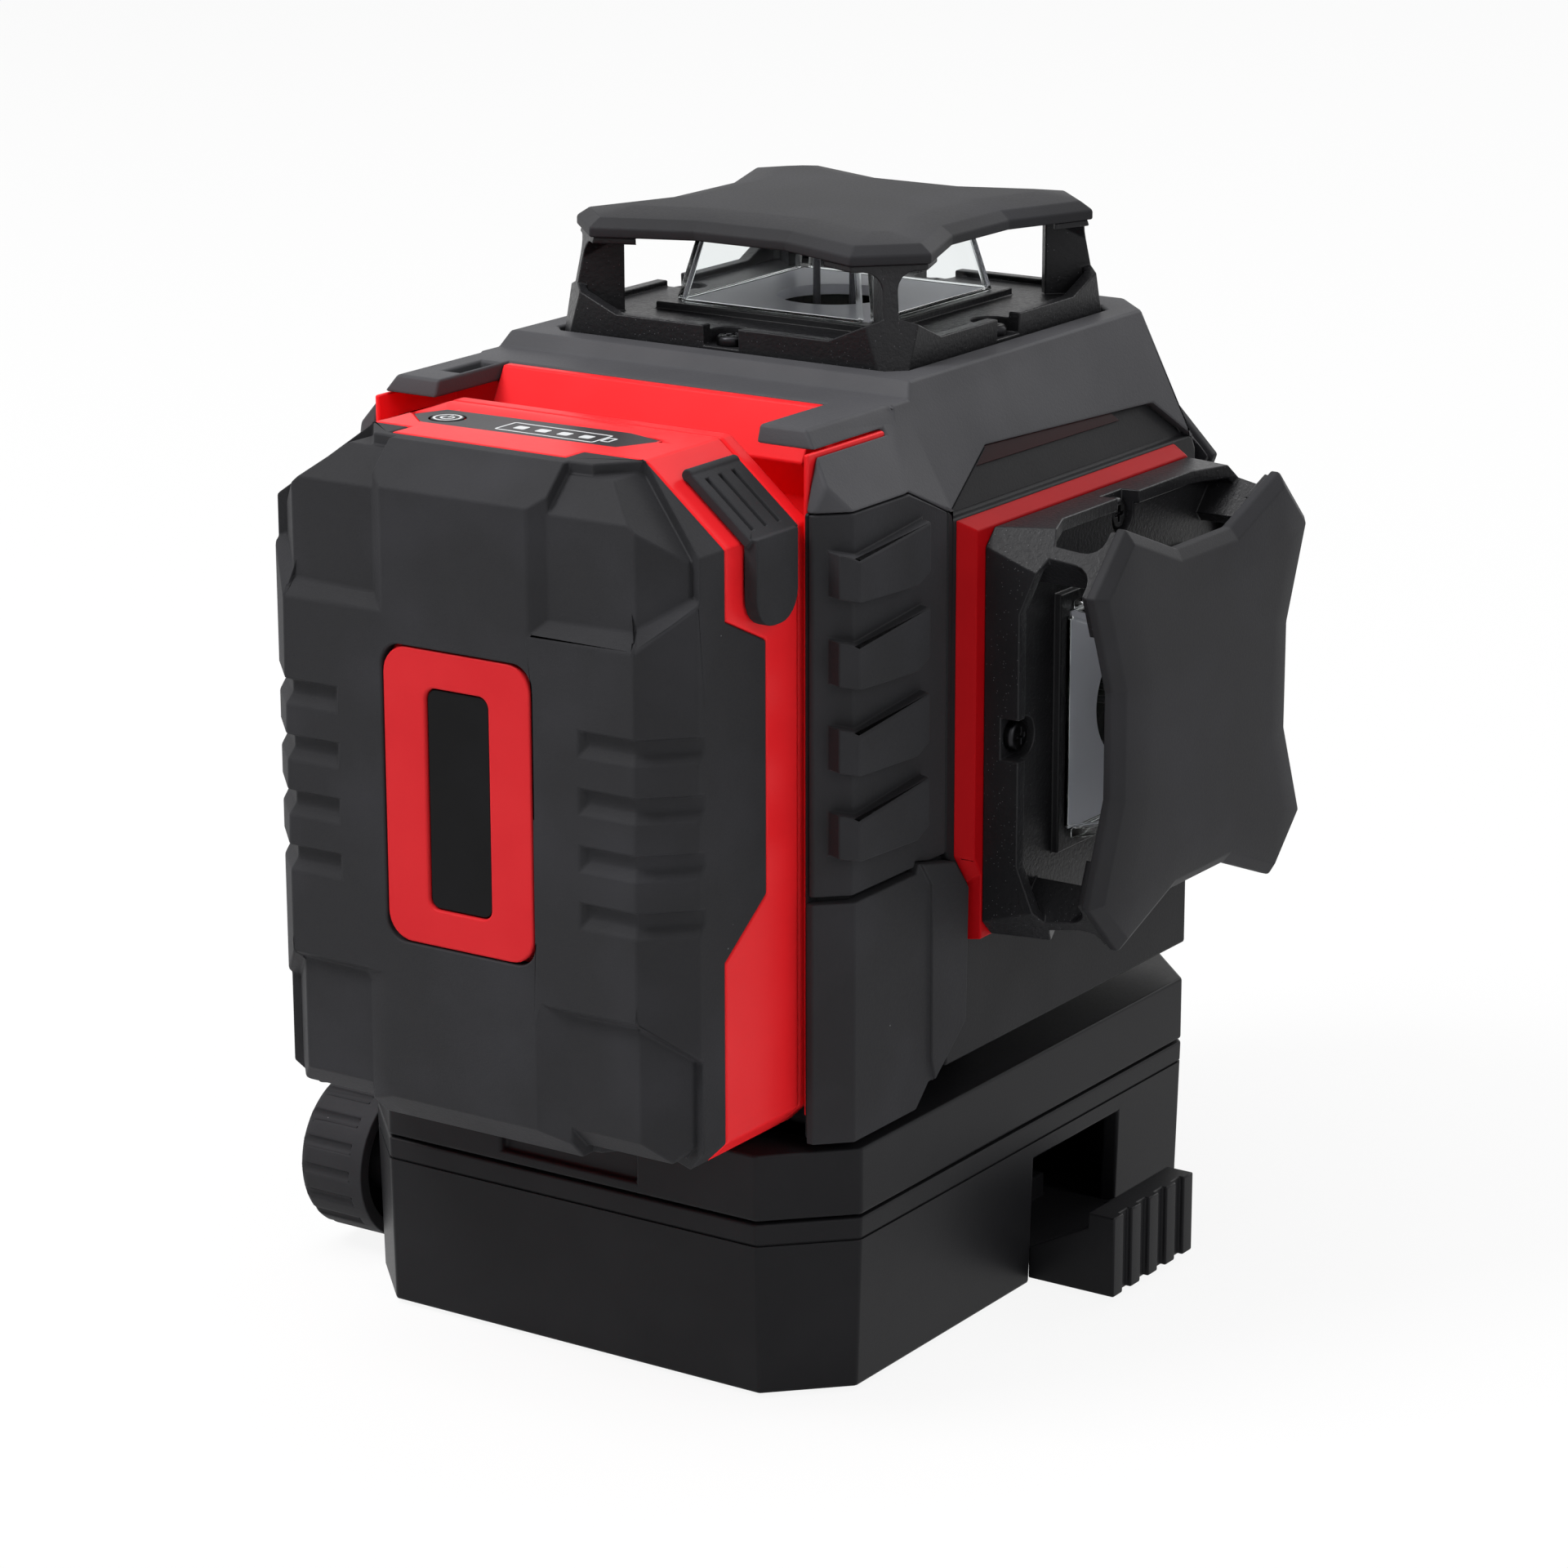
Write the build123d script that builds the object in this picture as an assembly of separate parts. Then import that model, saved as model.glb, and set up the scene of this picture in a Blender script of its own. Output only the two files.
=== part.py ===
from build123d import *
from math import cos, pi, radians, sin, sqrt
import os

# A self-levelling cross-line laser on a fine-turning base. Millimetres, +Z up.
# The origin is the mouth of the tripod thread, on the base's underside and on
# the turntable's axis. +X is the side laser head, -Y the battery.

os.makedirs("parts", exist_ok=True)

# ------------------------------------------------------------ driving sizes

slip = 0.15            # gap between pieces that are fixed to one another
swing = 0.3            # gap between pieces that move past one another
bearing = 0.05         # radial running clearance of a shaft or a pin
thread_hole = 0.05     # a screw's hole is this much larger than its shank

# base
base_half_x = 38.0     # at the bottom edge
base_half_y = 49.8
base_corner = 8.9
base_flare = 0.7       # how far each side leans out by the parting line
base_low = 0.5         # the rubber feet stand this far out
base_top = 23.6
base_wall = 2.4
plate_thick = 2.5
foot_radius = 5.0
tripod_radius = 3.0    # tapped bore for the 1/4 inch tripod screw
tripod_length = 9.0
insert_wall = 2.0
base_post_radius = 4.0
base_screw_deep = 1.4   # how far a base screw's head is let into the plate
foot_deep = 1.0         # how far a foot is let into the plate

# turntable and its drive
table_gap = 0.3
table_top = 32.85
table_wall = 2.6
spindle_radius = 8.0
wheel_radius = 24.0
wheel_low = 9.0
wheel_high = 16.0
clutch_low = wheel_high + 3.5
spindle_top = wheel_high + 6.5
spindle_seat = wheel_high + 9.0    # where the spindle screw's head bears
wheel_teeth = 48
clutch_thick = 1.0
clutch_radius = spindle_radius + 11.0
worm_radius = 7.0
worm_drop = 31.5       # worm axis in front of the turntable axis
drive_height = 12.5
shaft_radius = 2.5
knob_radius = 11.0
knob_near = base_half_x + 2.6    # distance of the knob's two ends from the turntable axis
knob_far = knob_near + 11.0
knob_grooves = 18

# wall-bracket catch
window_low_y = 1.6
window_high_y = 23.9
window_top = 18.2
tab_near = base_half_x + 8.6
tab_far = tab_near + 3.4
tab_low = 0.9
tab_high = 12.1
tab_ribs = 5
tab_rib_proud = 0.7

# housing
body_half = 38.0
body_front = 45.5
body_rear = 49.6
body_low = 34.5
body_step = 37.4
front_corner = 3.5
rear_corner = 7.1
hood_seam = 114.5
shelf_height = 124.0
roof_height = 126.0
roof_half = 31.0
roof_edge = 110.0      # where the roof's slope meets the side
shoulder_half = 31.3
shoulder_edge = 114.5
wall = 2.2
pad_thick = 1.2
boot_proud = 0.5
rib_proud = 1.0
bay_half = 33.3
bay_back = 27.5
bay_mouth = 24.5

# laser heads
head_half = 26.8
head_corner = 2.15
cap_half = 27.6
cap_corner = 7.5
cap_valley = 22.6      # how near the middle each side of the cap comes
rim_height = 16.35     # from the seat of a head to its cap's outer plane
rim_thick = 1.25
crown = 2.3
wall_height = 5.25     # of a head's outer wall at the middle of a side
wall_corner = 8.65
web_thick = 2.0
web_depth = 8.5
glass_low = 15.9       # half size of the glass box at its foot and at its top
glass_high = 13.7
glass_thick = 1.4
head_seat = 2.0        # how far a side head's seat stands off the housing
head_sink = 2.3        # how far the top head sits in the roof
head_y = 12.0
head_z = 80.6
port_radius = 7.6
head_screw_reach = head_half - 2.6   # from a head's middle to each screw
head_screw_seat = head_sink + 0.3
head_screw_hole = 1.3
glass_ledge = 1.3

# levelling unit
pivot_z = 104.0
ring_outer = 14.5
ring_inner = 11.0
ring_height = 6.0
neck_radius = 8.0
pivot_pin = 1.25
pendulum_half = 12.0
pendulum_low = 58.0
module_radius = 5.5
cone_radius = 3.5

# battery
pack_half = 32.0
pack_front = 72.0
pack_rear = 42.4
pack_low = 35.3
pack_top = 122.3
pack_chamfer_x = 20.5
pack_chamfer_z = 112.8
pack_bottom_corner = 3.0
pack_bevel = 5.5
pack_seam = 45.0
pack_wall = 1.8
cell_pitch = 18.35
groove_pitch = 7.17
board_thick = 1.6
cover_thick = 2.2
tongue_half = 24.0
tongue_back = 31.2
cell_radius = 9.1
cell_length = 65.0
label_half = 11.35
label_low = 60.0
label_high = 98.0
label_corner = 2.6


# ------------------------------------------------------------------ helpers

def block(x, y, z):
    """A box given by its low and high X, Y and Z."""
    middle = ((x[0] + x[1]) / 2, (y[0] + y[1]) / 2, (z[0] + z[1]) / 2)
    return Pos(*middle) * Box(x[1] - x[0], y[1] - y[0], z[1] - z[0])


def rod(axis, at, span, radius):
    """A round bar along X, Y or Z; at holds its other two coordinates."""
    middle = (span[0] + span[1]) / 2
    turn = {"X": Rot(0, 90, 0), "Y": Rot(90, 0, 0), "Z": Rot(0, 0, 0)}[axis]
    place = {
        "X": (middle, at[0], at[1]),
        "Y": (at[0], middle, at[1]),
        "Z": (at[0], at[1], middle),
    }[axis]
    return Pos(*place) * turn * Cylinder(radius, span[1] - span[0])


def outline(points):
    return make_face(Polyline(*points, close=True))


def prism(points, plane, reach, inset=0.0):
    """An outline on a plane through the origin, shrunk and pulled to both sides."""
    face = outline(points)
    if inset:
        face = offset(face, amount=-inset, kind=Kind.INTERSECTION)
    return extrude(plane * face, amount=reach, both=True)


def eight(half_x, half_y, corner):
    """A rectangle with its four corners cut at 45 degrees."""
    return [
        (half_x, half_y - corner), (half_x - corner, half_y),
        (corner - half_x, half_y), (-half_x, half_y - corner),
        (-half_x, corner - half_y), (corner - half_x, -half_y),
        (half_x - corner, -half_y), (half_x, corner - half_y),
    ]


def both_sides(points):
    """The points on +X, followed by their mirror images, as one closed outline."""
    return points + [(-x, y) for x, y in reversed(points)]


def tapered(low, high, z_low, z_high):
    return loft([Pos(0, 0, z_low) * outline(low), Pos(0, 0, z_high) * outline(high)])


def pan_screw(head_radius, head_height, shank_radius, shank_length):
    """A cross-recessed pan-head screw, head upwards, seat at the origin."""
    head = extrude(Circle(head_radius), amount=head_height)
    head = fillet(head.edges().group_by(Axis.Z)[-1], head_height * 0.45)
    cross = Box(head_radius * 1.1, head_radius * 0.28, head_height)
    cross += Box(head_radius * 0.28, head_radius * 1.1, head_height)
    shank = Pos(0, 0, -shank_length / 2) * Cylinder(shank_radius, shank_length)
    return head - Pos(0, 0, head_height) * cross + shank


def group(solids):
    return Compound(children=list(solids))


def save(name, shape):
    export_step(shape, os.path.join("parts", name + ".step"))


# --------------------------------------------------------------------- base

def base_outline(height, inset=0.0):
    """The base's outline at a height; its sides lean out evenly."""
    lean = base_flare * height / base_top
    corner = base_corner + lean - inset * (2 - sqrt(2))
    return eight(base_half_x + lean - inset, base_half_y + lean - inset, corner)


def base_solid(low, high, inset=0.0):
    return tapered(base_outline(low, inset), base_outline(high, inset), low, high)


base_screw_spots = [(x, y) for x in (-26, 26) for y in (-43, 43)]
table_hole = wheel_radius + 1.0
window = block((base_half_x - 8, base_half_x + 9), (window_low_y, window_high_y), (-1, window_top))

base_shell = base_solid(base_low, base_top)
base_shell -= base_solid(base_low - 0.1, base_top - base_wall, base_wall)
base_shell -= rod("Z", (0, 0), (base_top - 5, base_top + 5), table_hole)
base_shell -= window
base_shell -= rod("X", (-worm_drop, drive_height), (-60, -30), shaft_radius + 2.0 + slip)
for spot in base_screw_spots:
    post_floor = base_low + plate_thick + slip
    base_shell += rod("Z", spot, (post_floor, base_top - base_wall / 2), base_post_radius)
    base_shell -= rod("Z", spot, (post_floor - 1, post_floor + 9), 1.25)
save("base_shell", base_shell)

plate_top = base_low + plate_thick
base_plate = base_solid(base_low, plate_top, base_wall + slip)
base_plate -= block(
    (base_half_x - 8, base_half_x), (window_low_y - slip, window_high_y + slip), (-1, plate_top + 1)
)
base_plate += rod("Z", (0, 0), (base_low, spindle_top), spindle_radius)
base_plate += rod("Z", (0, 0), (base_low, wheel_low - 0.1), spindle_radius + 4)
base_plate -= rod("Z", (0, 0), (-1, tripod_length), tripod_radius + insert_wall + slip)
base_plate -= rod("Z", (0, 0), (wheel_high - 4, wheel_high + 10), 2.0)
for x in (-30, 12):
    base_plate += block(
        (x, x + 4), (-worm_drop - 5, -worm_drop + 5), (plate_top, drive_height + 5)
    )
base_plate -= rod("X", (-worm_drop, drive_height), (-40, 30), shaft_radius + 1.5 + slip)
foot_spots = [(x, y) for x in (-12, 12) for y in (-41, 41)]
for spot in foot_spots:
    base_plate -= rod("Z", spot, (-1, base_low + foot_deep), foot_radius + slip)
for spot in base_screw_spots:
    base_plate -= rod("Z", spot, (-1, plate_top + 1), 1.6)
    base_plate -= rod("Z", spot, (-1, base_low + base_screw_deep), 2.8)
base_plate += block((10, 12), (8, 17), (plate_top, plate_top + 5.6))
save("base_plate", base_plate)

feet = [rod("Z", spot, (0, base_low + foot_deep), foot_radius) for spot in foot_spots]
save("base_feet", group(feet))

tripod_insert = rod("Z", (0, 0), (0, tripod_length), tripod_radius + insert_wall)
tripod_insert -= rod("Z", (0, 0), (-1, tripod_length + 1), tripod_radius)
save("tripod_insert", tripod_insert)

base_screw = Rot(180, 0, 0) * pan_screw(2.4, 1.2, 1.2, 9)
save("base_screws", group(
    [Pos(x, y, base_low + base_screw_deep) * base_screw for x, y in base_screw_spots]
))

bushes = [
    rod("X", (-worm_drop, drive_height), span, shaft_radius + outer)
    - rod("X", (-worm_drop, drive_height), (-60, 40), shaft_radius + bearing)
    for span, outer in (((-38.6, -35.6), 2.0), ((12, 16), 1.5))
]
save("worm_bushes", group(bushes))

spindle_screw = Pos(0, 0, spindle_seat) * pan_screw(6.0, 2.6, 2.0 - slip, 12.5)
spindle_screw += rod("Z", (0, 0), (spindle_top, spindle_seat + 0.2), 3.5)
save("spindle_screw", spindle_screw)

# ------------------------------------------------------- fine-turning drive

shaft_axis = (-worm_drop, drive_height)
worm_shaft = rod("X", shaft_axis, (-knob_far + 3, 18), shaft_radius)
worm = rod("X", shaft_axis, (-13, 8), worm_radius)
for turn in range(5):
    groove = Pos(-11 + 4 * turn, 0, 0) * Rot(0, 90, 0) * Torus(worm_radius, 1.1)
    worm -= Pos(0, -worm_drop, drive_height) * groove
worm_shaft += worm
save("worm_shaft", worm_shaft)

knob = rod("X", shaft_axis, (-knob_far, -knob_near), knob_radius)
knob = fillet(knob.edges().sort_by(Axis.X)[0], 1.6)
for step in range(knob_grooves):
    angle = 2 * pi * step / knob_grooves
    spot = (
        shaft_axis[0] + (knob_radius + 0.35) * cos(angle),
        shaft_axis[1] + (knob_radius + 0.35) * sin(angle),
    )
    knob -= rod("X", spot, (-knob_far - 1, -knob_near - 2.2), 0.85)
knob -= rod("X", shaft_axis, (-knob_near - 4.5, -knob_near + 1), knob_radius - 1.8)
knob += rod("X", shaft_axis, (-knob_far + 3, -knob_near - 0.6), shaft_radius + 2.5)
knob -= rod("X", shaft_axis, (-knob_far + 3, -knob_near + 1), shaft_radius + 0.02)
save("fine_knob", knob)

tooth_depth = 1.2
wheel = rod("Z", (0, 0), (wheel_low, wheel_high), wheel_radius - tooth_depth)
tooth_half = 0.32 * pi * wheel_radius / wheel_teeth
tooth = block(
    (wheel_radius - tooth_depth - 0.5, wheel_radius), (-tooth_half, tooth_half),
    (wheel_low, wheel_high),
)
for step in range(wheel_teeth):
    wheel += Rot(0, 0, 360 * step / wheel_teeth) * tooth
wheel += rod("Z", (0, 0), (wheel_high, clutch_low), clutch_radius + 1)
wheel -= rod("Z", (0, 0), (0, 40), spindle_radius + bearing)
save("worm_wheel", wheel)

clutch_high = clutch_low + clutch_thick
clutch = rod("Z", (0, 0), (clutch_low, clutch_high), clutch_radius)
clutch -= rod("Z", (0, 0), (0, 40), spindle_radius + 3)
save("clutch_washer", clutch)

# ----------------------------------------------------- wall-bracket catch

arm_low = plate_top + swing
arm_high = arm_low + 2.0
tab_y = (window_low_y + 0.5, window_high_y - 0.5)
tab = block((tab_near, tab_far), tab_y, (tab_low, tab_high))
tab_rib_pitch = (tab_y[1] - tab_y[0]) / (tab_ribs - 0.45)
for step in range(tab_ribs):
    rib_y = tab_y[0] + tab_rib_pitch * step
    tab += block((tab_far - 0.5, tab_far + tab_rib_proud), (rib_y, rib_y + tab_rib_pitch * 0.55),
                 (tab_low, tab_high))
tab += block((24, tab_near + 1), tab_y, (arm_low, arm_high))
web_outline = [
    (tab_near + 1, tab_low), (base_half_x - 0.5, tab_low), (base_half_x - 0.5, arm_high),
    (tab_near + 1, tab_high - 1.5),
]
for low_y in (tab_y[0], tab_y[1] - 1.6):
    web = extrude(Plane.XZ * outline(web_outline), amount=-1.6)
    tab += Pos(0, low_y, 0) * web
tab += block((26, 29), (tab_y[0] + 3, tab_y[1] - 3), (arm_low, arm_high + 3.2))
spring_axis = (12.5, plate_top + 2.9)
tab += rod("X", spring_axis, (18, 26), 1.3)
tab += block((22, 27), (9.5, 15.5), (arm_low, arm_low + 5.2))
save("catch_tab", tab)

spring_wire = 0.45
spring_path = Helix(pitch=1.7, height=9.0, radius=2.1)
spring_section = Plane(origin=spring_path @ 0, z_dir=spring_path % 0) * Circle(spring_wire)
spring = Pos(12.5, *spring_axis) * Rot(0, 90, 0) * sweep(spring_section, spring_path)
save("catch_spring", spring)

# ---------------------------------------------------------------- turntable

table_low = base_top + table_gap
turntable = tapered(base_outline(base_top), base_outline(base_top), table_low, table_top)
turntable -= tapered(
    base_outline(base_top, table_wall), base_outline(base_top, table_wall),
    table_low - 1, table_top - table_wall,
)
turntable -= block((-10.7, 10.7), (-60, 1.2 - base_half_y - base_flare), (25.5, 40))
turntable += rod("Z", (0, 0), (clutch_high, table_top - 1), clutch_radius)
turntable -= rod("Z", (0, 0), (0, table_top + 1), spindle_radius - 4 + swing)
turntable -= rod("Z", (0, 0), (0, spindle_top + swing), spindle_radius + swing)
turntable -= rod("Z", (0, 0), (spindle_seat - swing, table_top + 1), 6.0 + swing)
table_screw_spots = [(x, y) for x in (-14, 14) for y in (-12, 12)]
table_screw_seat = table_top - 2.6
for spot in table_screw_spots:
    turntable -= rod("Z", spot, (0, table_top + 1), 1.7)
    turntable -= rod("Z", spot, (0, table_screw_seat), 3.0)
save("turntable", turntable)

table_screw = Rot(180, 0, 0) * pan_screw(2.7, 1.5, 1.5, 8)
save("turntable_screws", group(
    [Pos(x, y, table_screw_seat) * table_screw for x, y in table_screw_spots]
))

# ------------------------------------------------------------ housing shape

body_plan = [
    (body_half, body_rear - rear_corner), (body_half - rear_corner, body_rear),
    (rear_corner - body_half, body_rear), (-body_half, body_rear - rear_corner),
    (-body_half, front_corner - body_front), (front_corner - body_half, -body_front),
    (body_half - front_corner, -body_front), (body_half, front_corner - body_front),
]
roof_face = both_sides([(body_half, body_low), (body_half, roof_edge), (roof_half, roof_height)])
roof_side = [
    (-24, body_step), (body_rear, body_step), (body_rear, 114), (45.5, roof_height),
    (-18.45, roof_height), (-20, shelf_height), (-24, shelf_height),
]
shoulder_face = both_sides([
    (body_half, body_low), (body_half, shoulder_edge), (shoulder_half, shelf_height),
])
shoulder_side = [
    (-body_front, body_low), (-28, body_low), (-25, body_step), (0, body_step),
    (0, shelf_height), (-42.3, shelf_height), (-body_front, hood_seam),
]
rear_facet = Vector(1, 1, 0.543).normalized()
shoulder_facet = Vector(0.89, 0.162, 0.424).normalized()


def facet_cut(facet, spot, inset):
    """What lies outside a slanted facet on the right, and outside its mirror image."""
    away = extrude(Plane(origin=spot - facet * inset, z_dir=facet) * Rectangle(150, 150), amount=60)
    return away + mirror(away, about=Plane.YZ)


def body_solid(inset=0.0):
    """The housing's outer shape, or the same shape shrunk or swollen evenly."""
    plan = prism(body_plan, Plane.XY, 200, inset)
    rear = plan & prism(roof_face, Plane.XZ, 200, inset) & prism(roof_side, Plane.YZ, 200, inset)
    rear -= facet_cut(rear_facet, Vector(roof_half, 39.4, roof_height), inset)
    front = plan & prism(shoulder_face, Plane.XZ, 200, inset)
    front &= prism(shoulder_side, Plane.YZ, 200, inset)
    front -= facet_cut(shoulder_facet, Vector(30.3, -18.3, roof_height), inset)
    return rear + front


def seam(drop=0.0):
    """The parting line of hood and housing, seen from the side, closed underneath."""
    line = [(-100, 114.5), (-29, 114.5), (-19.5, 110.2), (-7, 116.2), (34.4, 114.6), (41.4, 109),
            (100, 109)]
    return [(y, z - drop) for y, z in line] + [(100, 0), (-100, 0)]


top_seat = roof_height - head_sink
side_place = Plane(origin=(body_half + head_seat, head_y, head_z), x_dir=(0, 1, 0), z_dir=(1, 0, 0))
rear_place = Plane(origin=(0, body_rear + head_seat, head_z), x_dir=(-1, 0, 0), z_dir=(0, 1, 0))
top_place = Plane(origin=(0, head_y, top_seat), x_dir=(1, 0, 0), z_dir=(0, 0, 1))
head_places = {"top": top_place, "side": side_place, "rear": rear_place}

body = body_solid()
core = body_solid(pad_thick)
hollow = body_solid(wall)
hollow &= block((-100, 100), (-bay_back + wall, 100), (0, top_seat - wall))
bay = block((-bay_half, bay_half), (-60, -bay_back), (body_low + 2.4, shelf_height - 2.3))
bay += block((-bay_half, bay_half), (-60, -41.5), (0, shelf_height - 2.3))
bay += block((-bay_mouth, bay_mouth), (-60, -bay_back), (body_low + 2.4, 200))
skin = body - core
lower = prism(seam(), Plane.YZ, 200)

# rubber corner pads, cut from the housing's own skin
grip_low = 66.0
grip_back = -20.5
boot_back = -20.0
pad_near = bay_half + 0.4
rib_pitch = 10.9


def pad_zone(z_low, z_high, back):
    """The right-hand corner between two heights, as far back as the pads reach."""
    return block((pad_near, 100), (-100, back), (z_low, z_high))


rib_top = [(-44.2, 109.9), (-41.7, 109.2), (-26.6, 110.9)]
rib_foot = [(-26.6, 104.5), (-29.4, 103.2), (-41.7, 103.7), (-44.2, 104.3)]
rib_slope = Vector(13.5, -1.7, 15).normalized()
boot_edge = [
    (-60, 65.3), (-28, 65.5), (-27.5, 66.7), (-19.6, 65.0), (-16.2, 60.8), (-16.6, 43.0),
    (-27.0, 34.4), (-27.0, 30), (-60, 30),
]
strip_edge = [
    (-27.5, 66.7), (-19.6, 65.0), (-16.2, 60.8), (-16.6, 43.0), (-24.0, 37.0), (-24.9, 40.0),
    (-25.0, 63.4),
]
right_side = block((pad_near, 100), (-100, 0), (0, 200))
rib_shell = (body_solid(-rib_proud) - core) & right_side
boot_shell = (body_solid(-boot_proud) - core) & right_side

grip = skin & pad_zone(grip_low + slip, hood_seam, grip_back)
grip &= prism(seam(slip), Plane.YZ, 200)
grip -= prism([(y, z + slip) for y, z in boot_edge], Plane.YZ, 200)
for step in range(4):
    drop = rib_pitch * step
    edge = [(y, z - drop) for y, z in rib_top + rib_foot]
    rib = rib_shell & prism(edge, Plane.YZ, 200)
    slope_spot = Vector(body_half + rib_proud, -41.5, 108.9 - drop)
    rib -= extrude(Plane(origin=slope_spot, z_dir=rib_slope) * Rectangle(60, 60), amount=20)
    grip += rib
boot = boot_shell & prism(boot_edge, Plane.YZ, 200)
boot += rib_shell & prism(strip_edge, Plane.YZ, 200)
save("grip_right", grip)
save("grip_left", mirror(grip, about=Plane.YZ))
save("boot_right", boot)
save("boot_left", mirror(boot, about=Plane.YZ))

housing = (body - hollow - bay) & lower
pad_room = pad_zone(0, hood_seam, grip_back) + pad_zone(0, grip_low, boot_back)
pad_room += prism([(y + slip, z) for y, z in boot_edge], Plane.YZ, 200) & right_side
pad_room = skin & (pad_room + mirror(pad_room, about=Plane.YZ))
housing -= pad_room
housing += rod("Z", (0, 0), (table_top, body_step + 1.5), 24)
housing -= rod("Z", (0, 0), (0, table_top + 1.6), 7.0)
for spot in table_screw_spots:
    housing -= rod("Z", spot, (0, body_step + 3), 1.5 + thread_hole)
side_port = rod("X", (head_y, head_z), (body_half - 10, body_half + 10), port_radius + 4)
rear_port = rod("Y", (0, head_z), (body_rear - 10, body_rear + 10), port_radius + 4)
housing = housing - side_port - rear_port
pocket = skin & block((0, 100), (-100, 100), (0, 200)) & prism(
    [(-18.9, 109.3), (-19.3, 110.2), (-7, 116.2), (34.4, 114.6), (41.2, 109.3)], Plane.YZ, 200
)
housing -= pocket
pad_stem = 2.0
lock_spot = (16.0, 50.0)
lock_travel = 8.0
lock_slot = block((-body_half - 5, -body_half + 5), (lock_spot[0] - 9, lock_spot[0] + 9),
                  (lock_spot[1] - 3, lock_spot[1] + 3))
housing -= lock_slot
key_spots = [(-4.0, 96.0), (12.0, 96.0), (28.0, 96.0)]
for spot in key_spots:
    housing -= rod("X", spot, (-body_half - 5, -body_half + 5), 4.0)
housing -= block((-6, 6), (-bay_back - 5, -bay_back + 5), (44, 50))
housing += rod("Z", (0, head_y), (body_step + 1, 42.2), pad_stem + 2) - rod(
    "Z", (0, head_y), (body_step + wall, 50), pad_stem + bearing
)
board_x = -body_half + wall + 4.5
board_y = (-18, 40)
board_z = (60, 106)
for y in (board_y[0] + 6, board_y[1] - 4):
    for z in (board_z[0] + 4, board_z[1] - 2):
        housing += rod("X", (y, z), (-body_half + wall - 1, board_x), 2.0)
save("housing", housing)

hood = (body - hollow - bay) - lower
head_recess = extrude(outline(eight(head_half + swing, head_half + swing, head_corner)), amount=40)
hood -= top_place * head_recess
hood -= rod("Z", (0, head_y), (100, 140), port_radius + 4)
hood -= pocket
hood -= block((-27.8, -25.3), (-37, -29), (shelf_height - 1.6, shelf_height + 5))
for quarter in range(4):
    spot = top_place * Rot(0, 0, 90 * quarter) * Pos(0, -head_screw_reach, 0)
    hood -= spot * Cylinder(head_screw_hole, 20)
save("hood", hood)

# red liner of the battery bay, with the sloped finger pocket at its top
liner_back = bay_back + 1.2
liner = block((-bay_half + slip, bay_half - slip), (-liner_back, -bay_back - 0.02),
              (body_low + 2.5, shelf_height - 2.5))
for side in (1, -1):
    x_span = sorted((side * (bay_half - slip), side * (bay_half - 0.9)))
    liner += block(x_span, (-44.6, -bay_back - 0.02), (body_low + 2.5, shelf_height - 2.5))
scoop = [
    (-bay_back - 0.02, 112), (-liner_back, 112), (-32.6, 117.2),
    (-liner_back - 0.3, shelf_height - 0.2), (-bay_back - 0.02, shelf_height - 0.2),
]
liner += prism(scoop, Plane.YZ, bay_mouth - slip)
liner -= block((-6, 6), (-60, 0), (44, 50))
save("bay_liner", liner)

# ------------------------------------------------------------- laser heads


side_bezel_foot = [(-30.6, -15.4), (-27.3, -19.8), (-27.3, -27.3), (27.3, -27.3), (27.3, 25.2),
                   (24.6, 28.4), (-30.6, 28.4)]
side_bezel_top = [(-28.6, -15.9), (-27.0, -18.2), (-27.0, -27.0), (27.0, -27.0), (27.0, 24.7),
                  (24.7, 27.0), (-28.6, 27.0)]


def bezel(foot, top):
    """The red ring between a head and the housing wall, in the head's own frame."""
    ring = loft([Pos(0, 0, -head_seat) * outline(foot), outline(top)], ruled=True)
    ring -= Box(30, 30, 20)
    for quarter in range(4):
        ring -= Rot(0, 0, 90 * quarter) * rod("Z", (0, -head_screw_reach), (-5, 5), head_screw_hole)
    return ring


def cap_outline(shrink=0.0, valley=cap_valley):
    """One cap: horns at the corners, and a shallow valley in each side."""
    half = cap_half - shrink
    near = half - cap_corner
    points = []
    for quarter in range(4):
        for x, y in ((half, -near), (valley - shrink, -7), (valley - shrink, 7), (half, near)):
            angle = radians(90 * quarter)
            points.append((x * cos(angle) - y * sin(angle), x * sin(angle) + y * cos(angle)))
    return points


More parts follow.
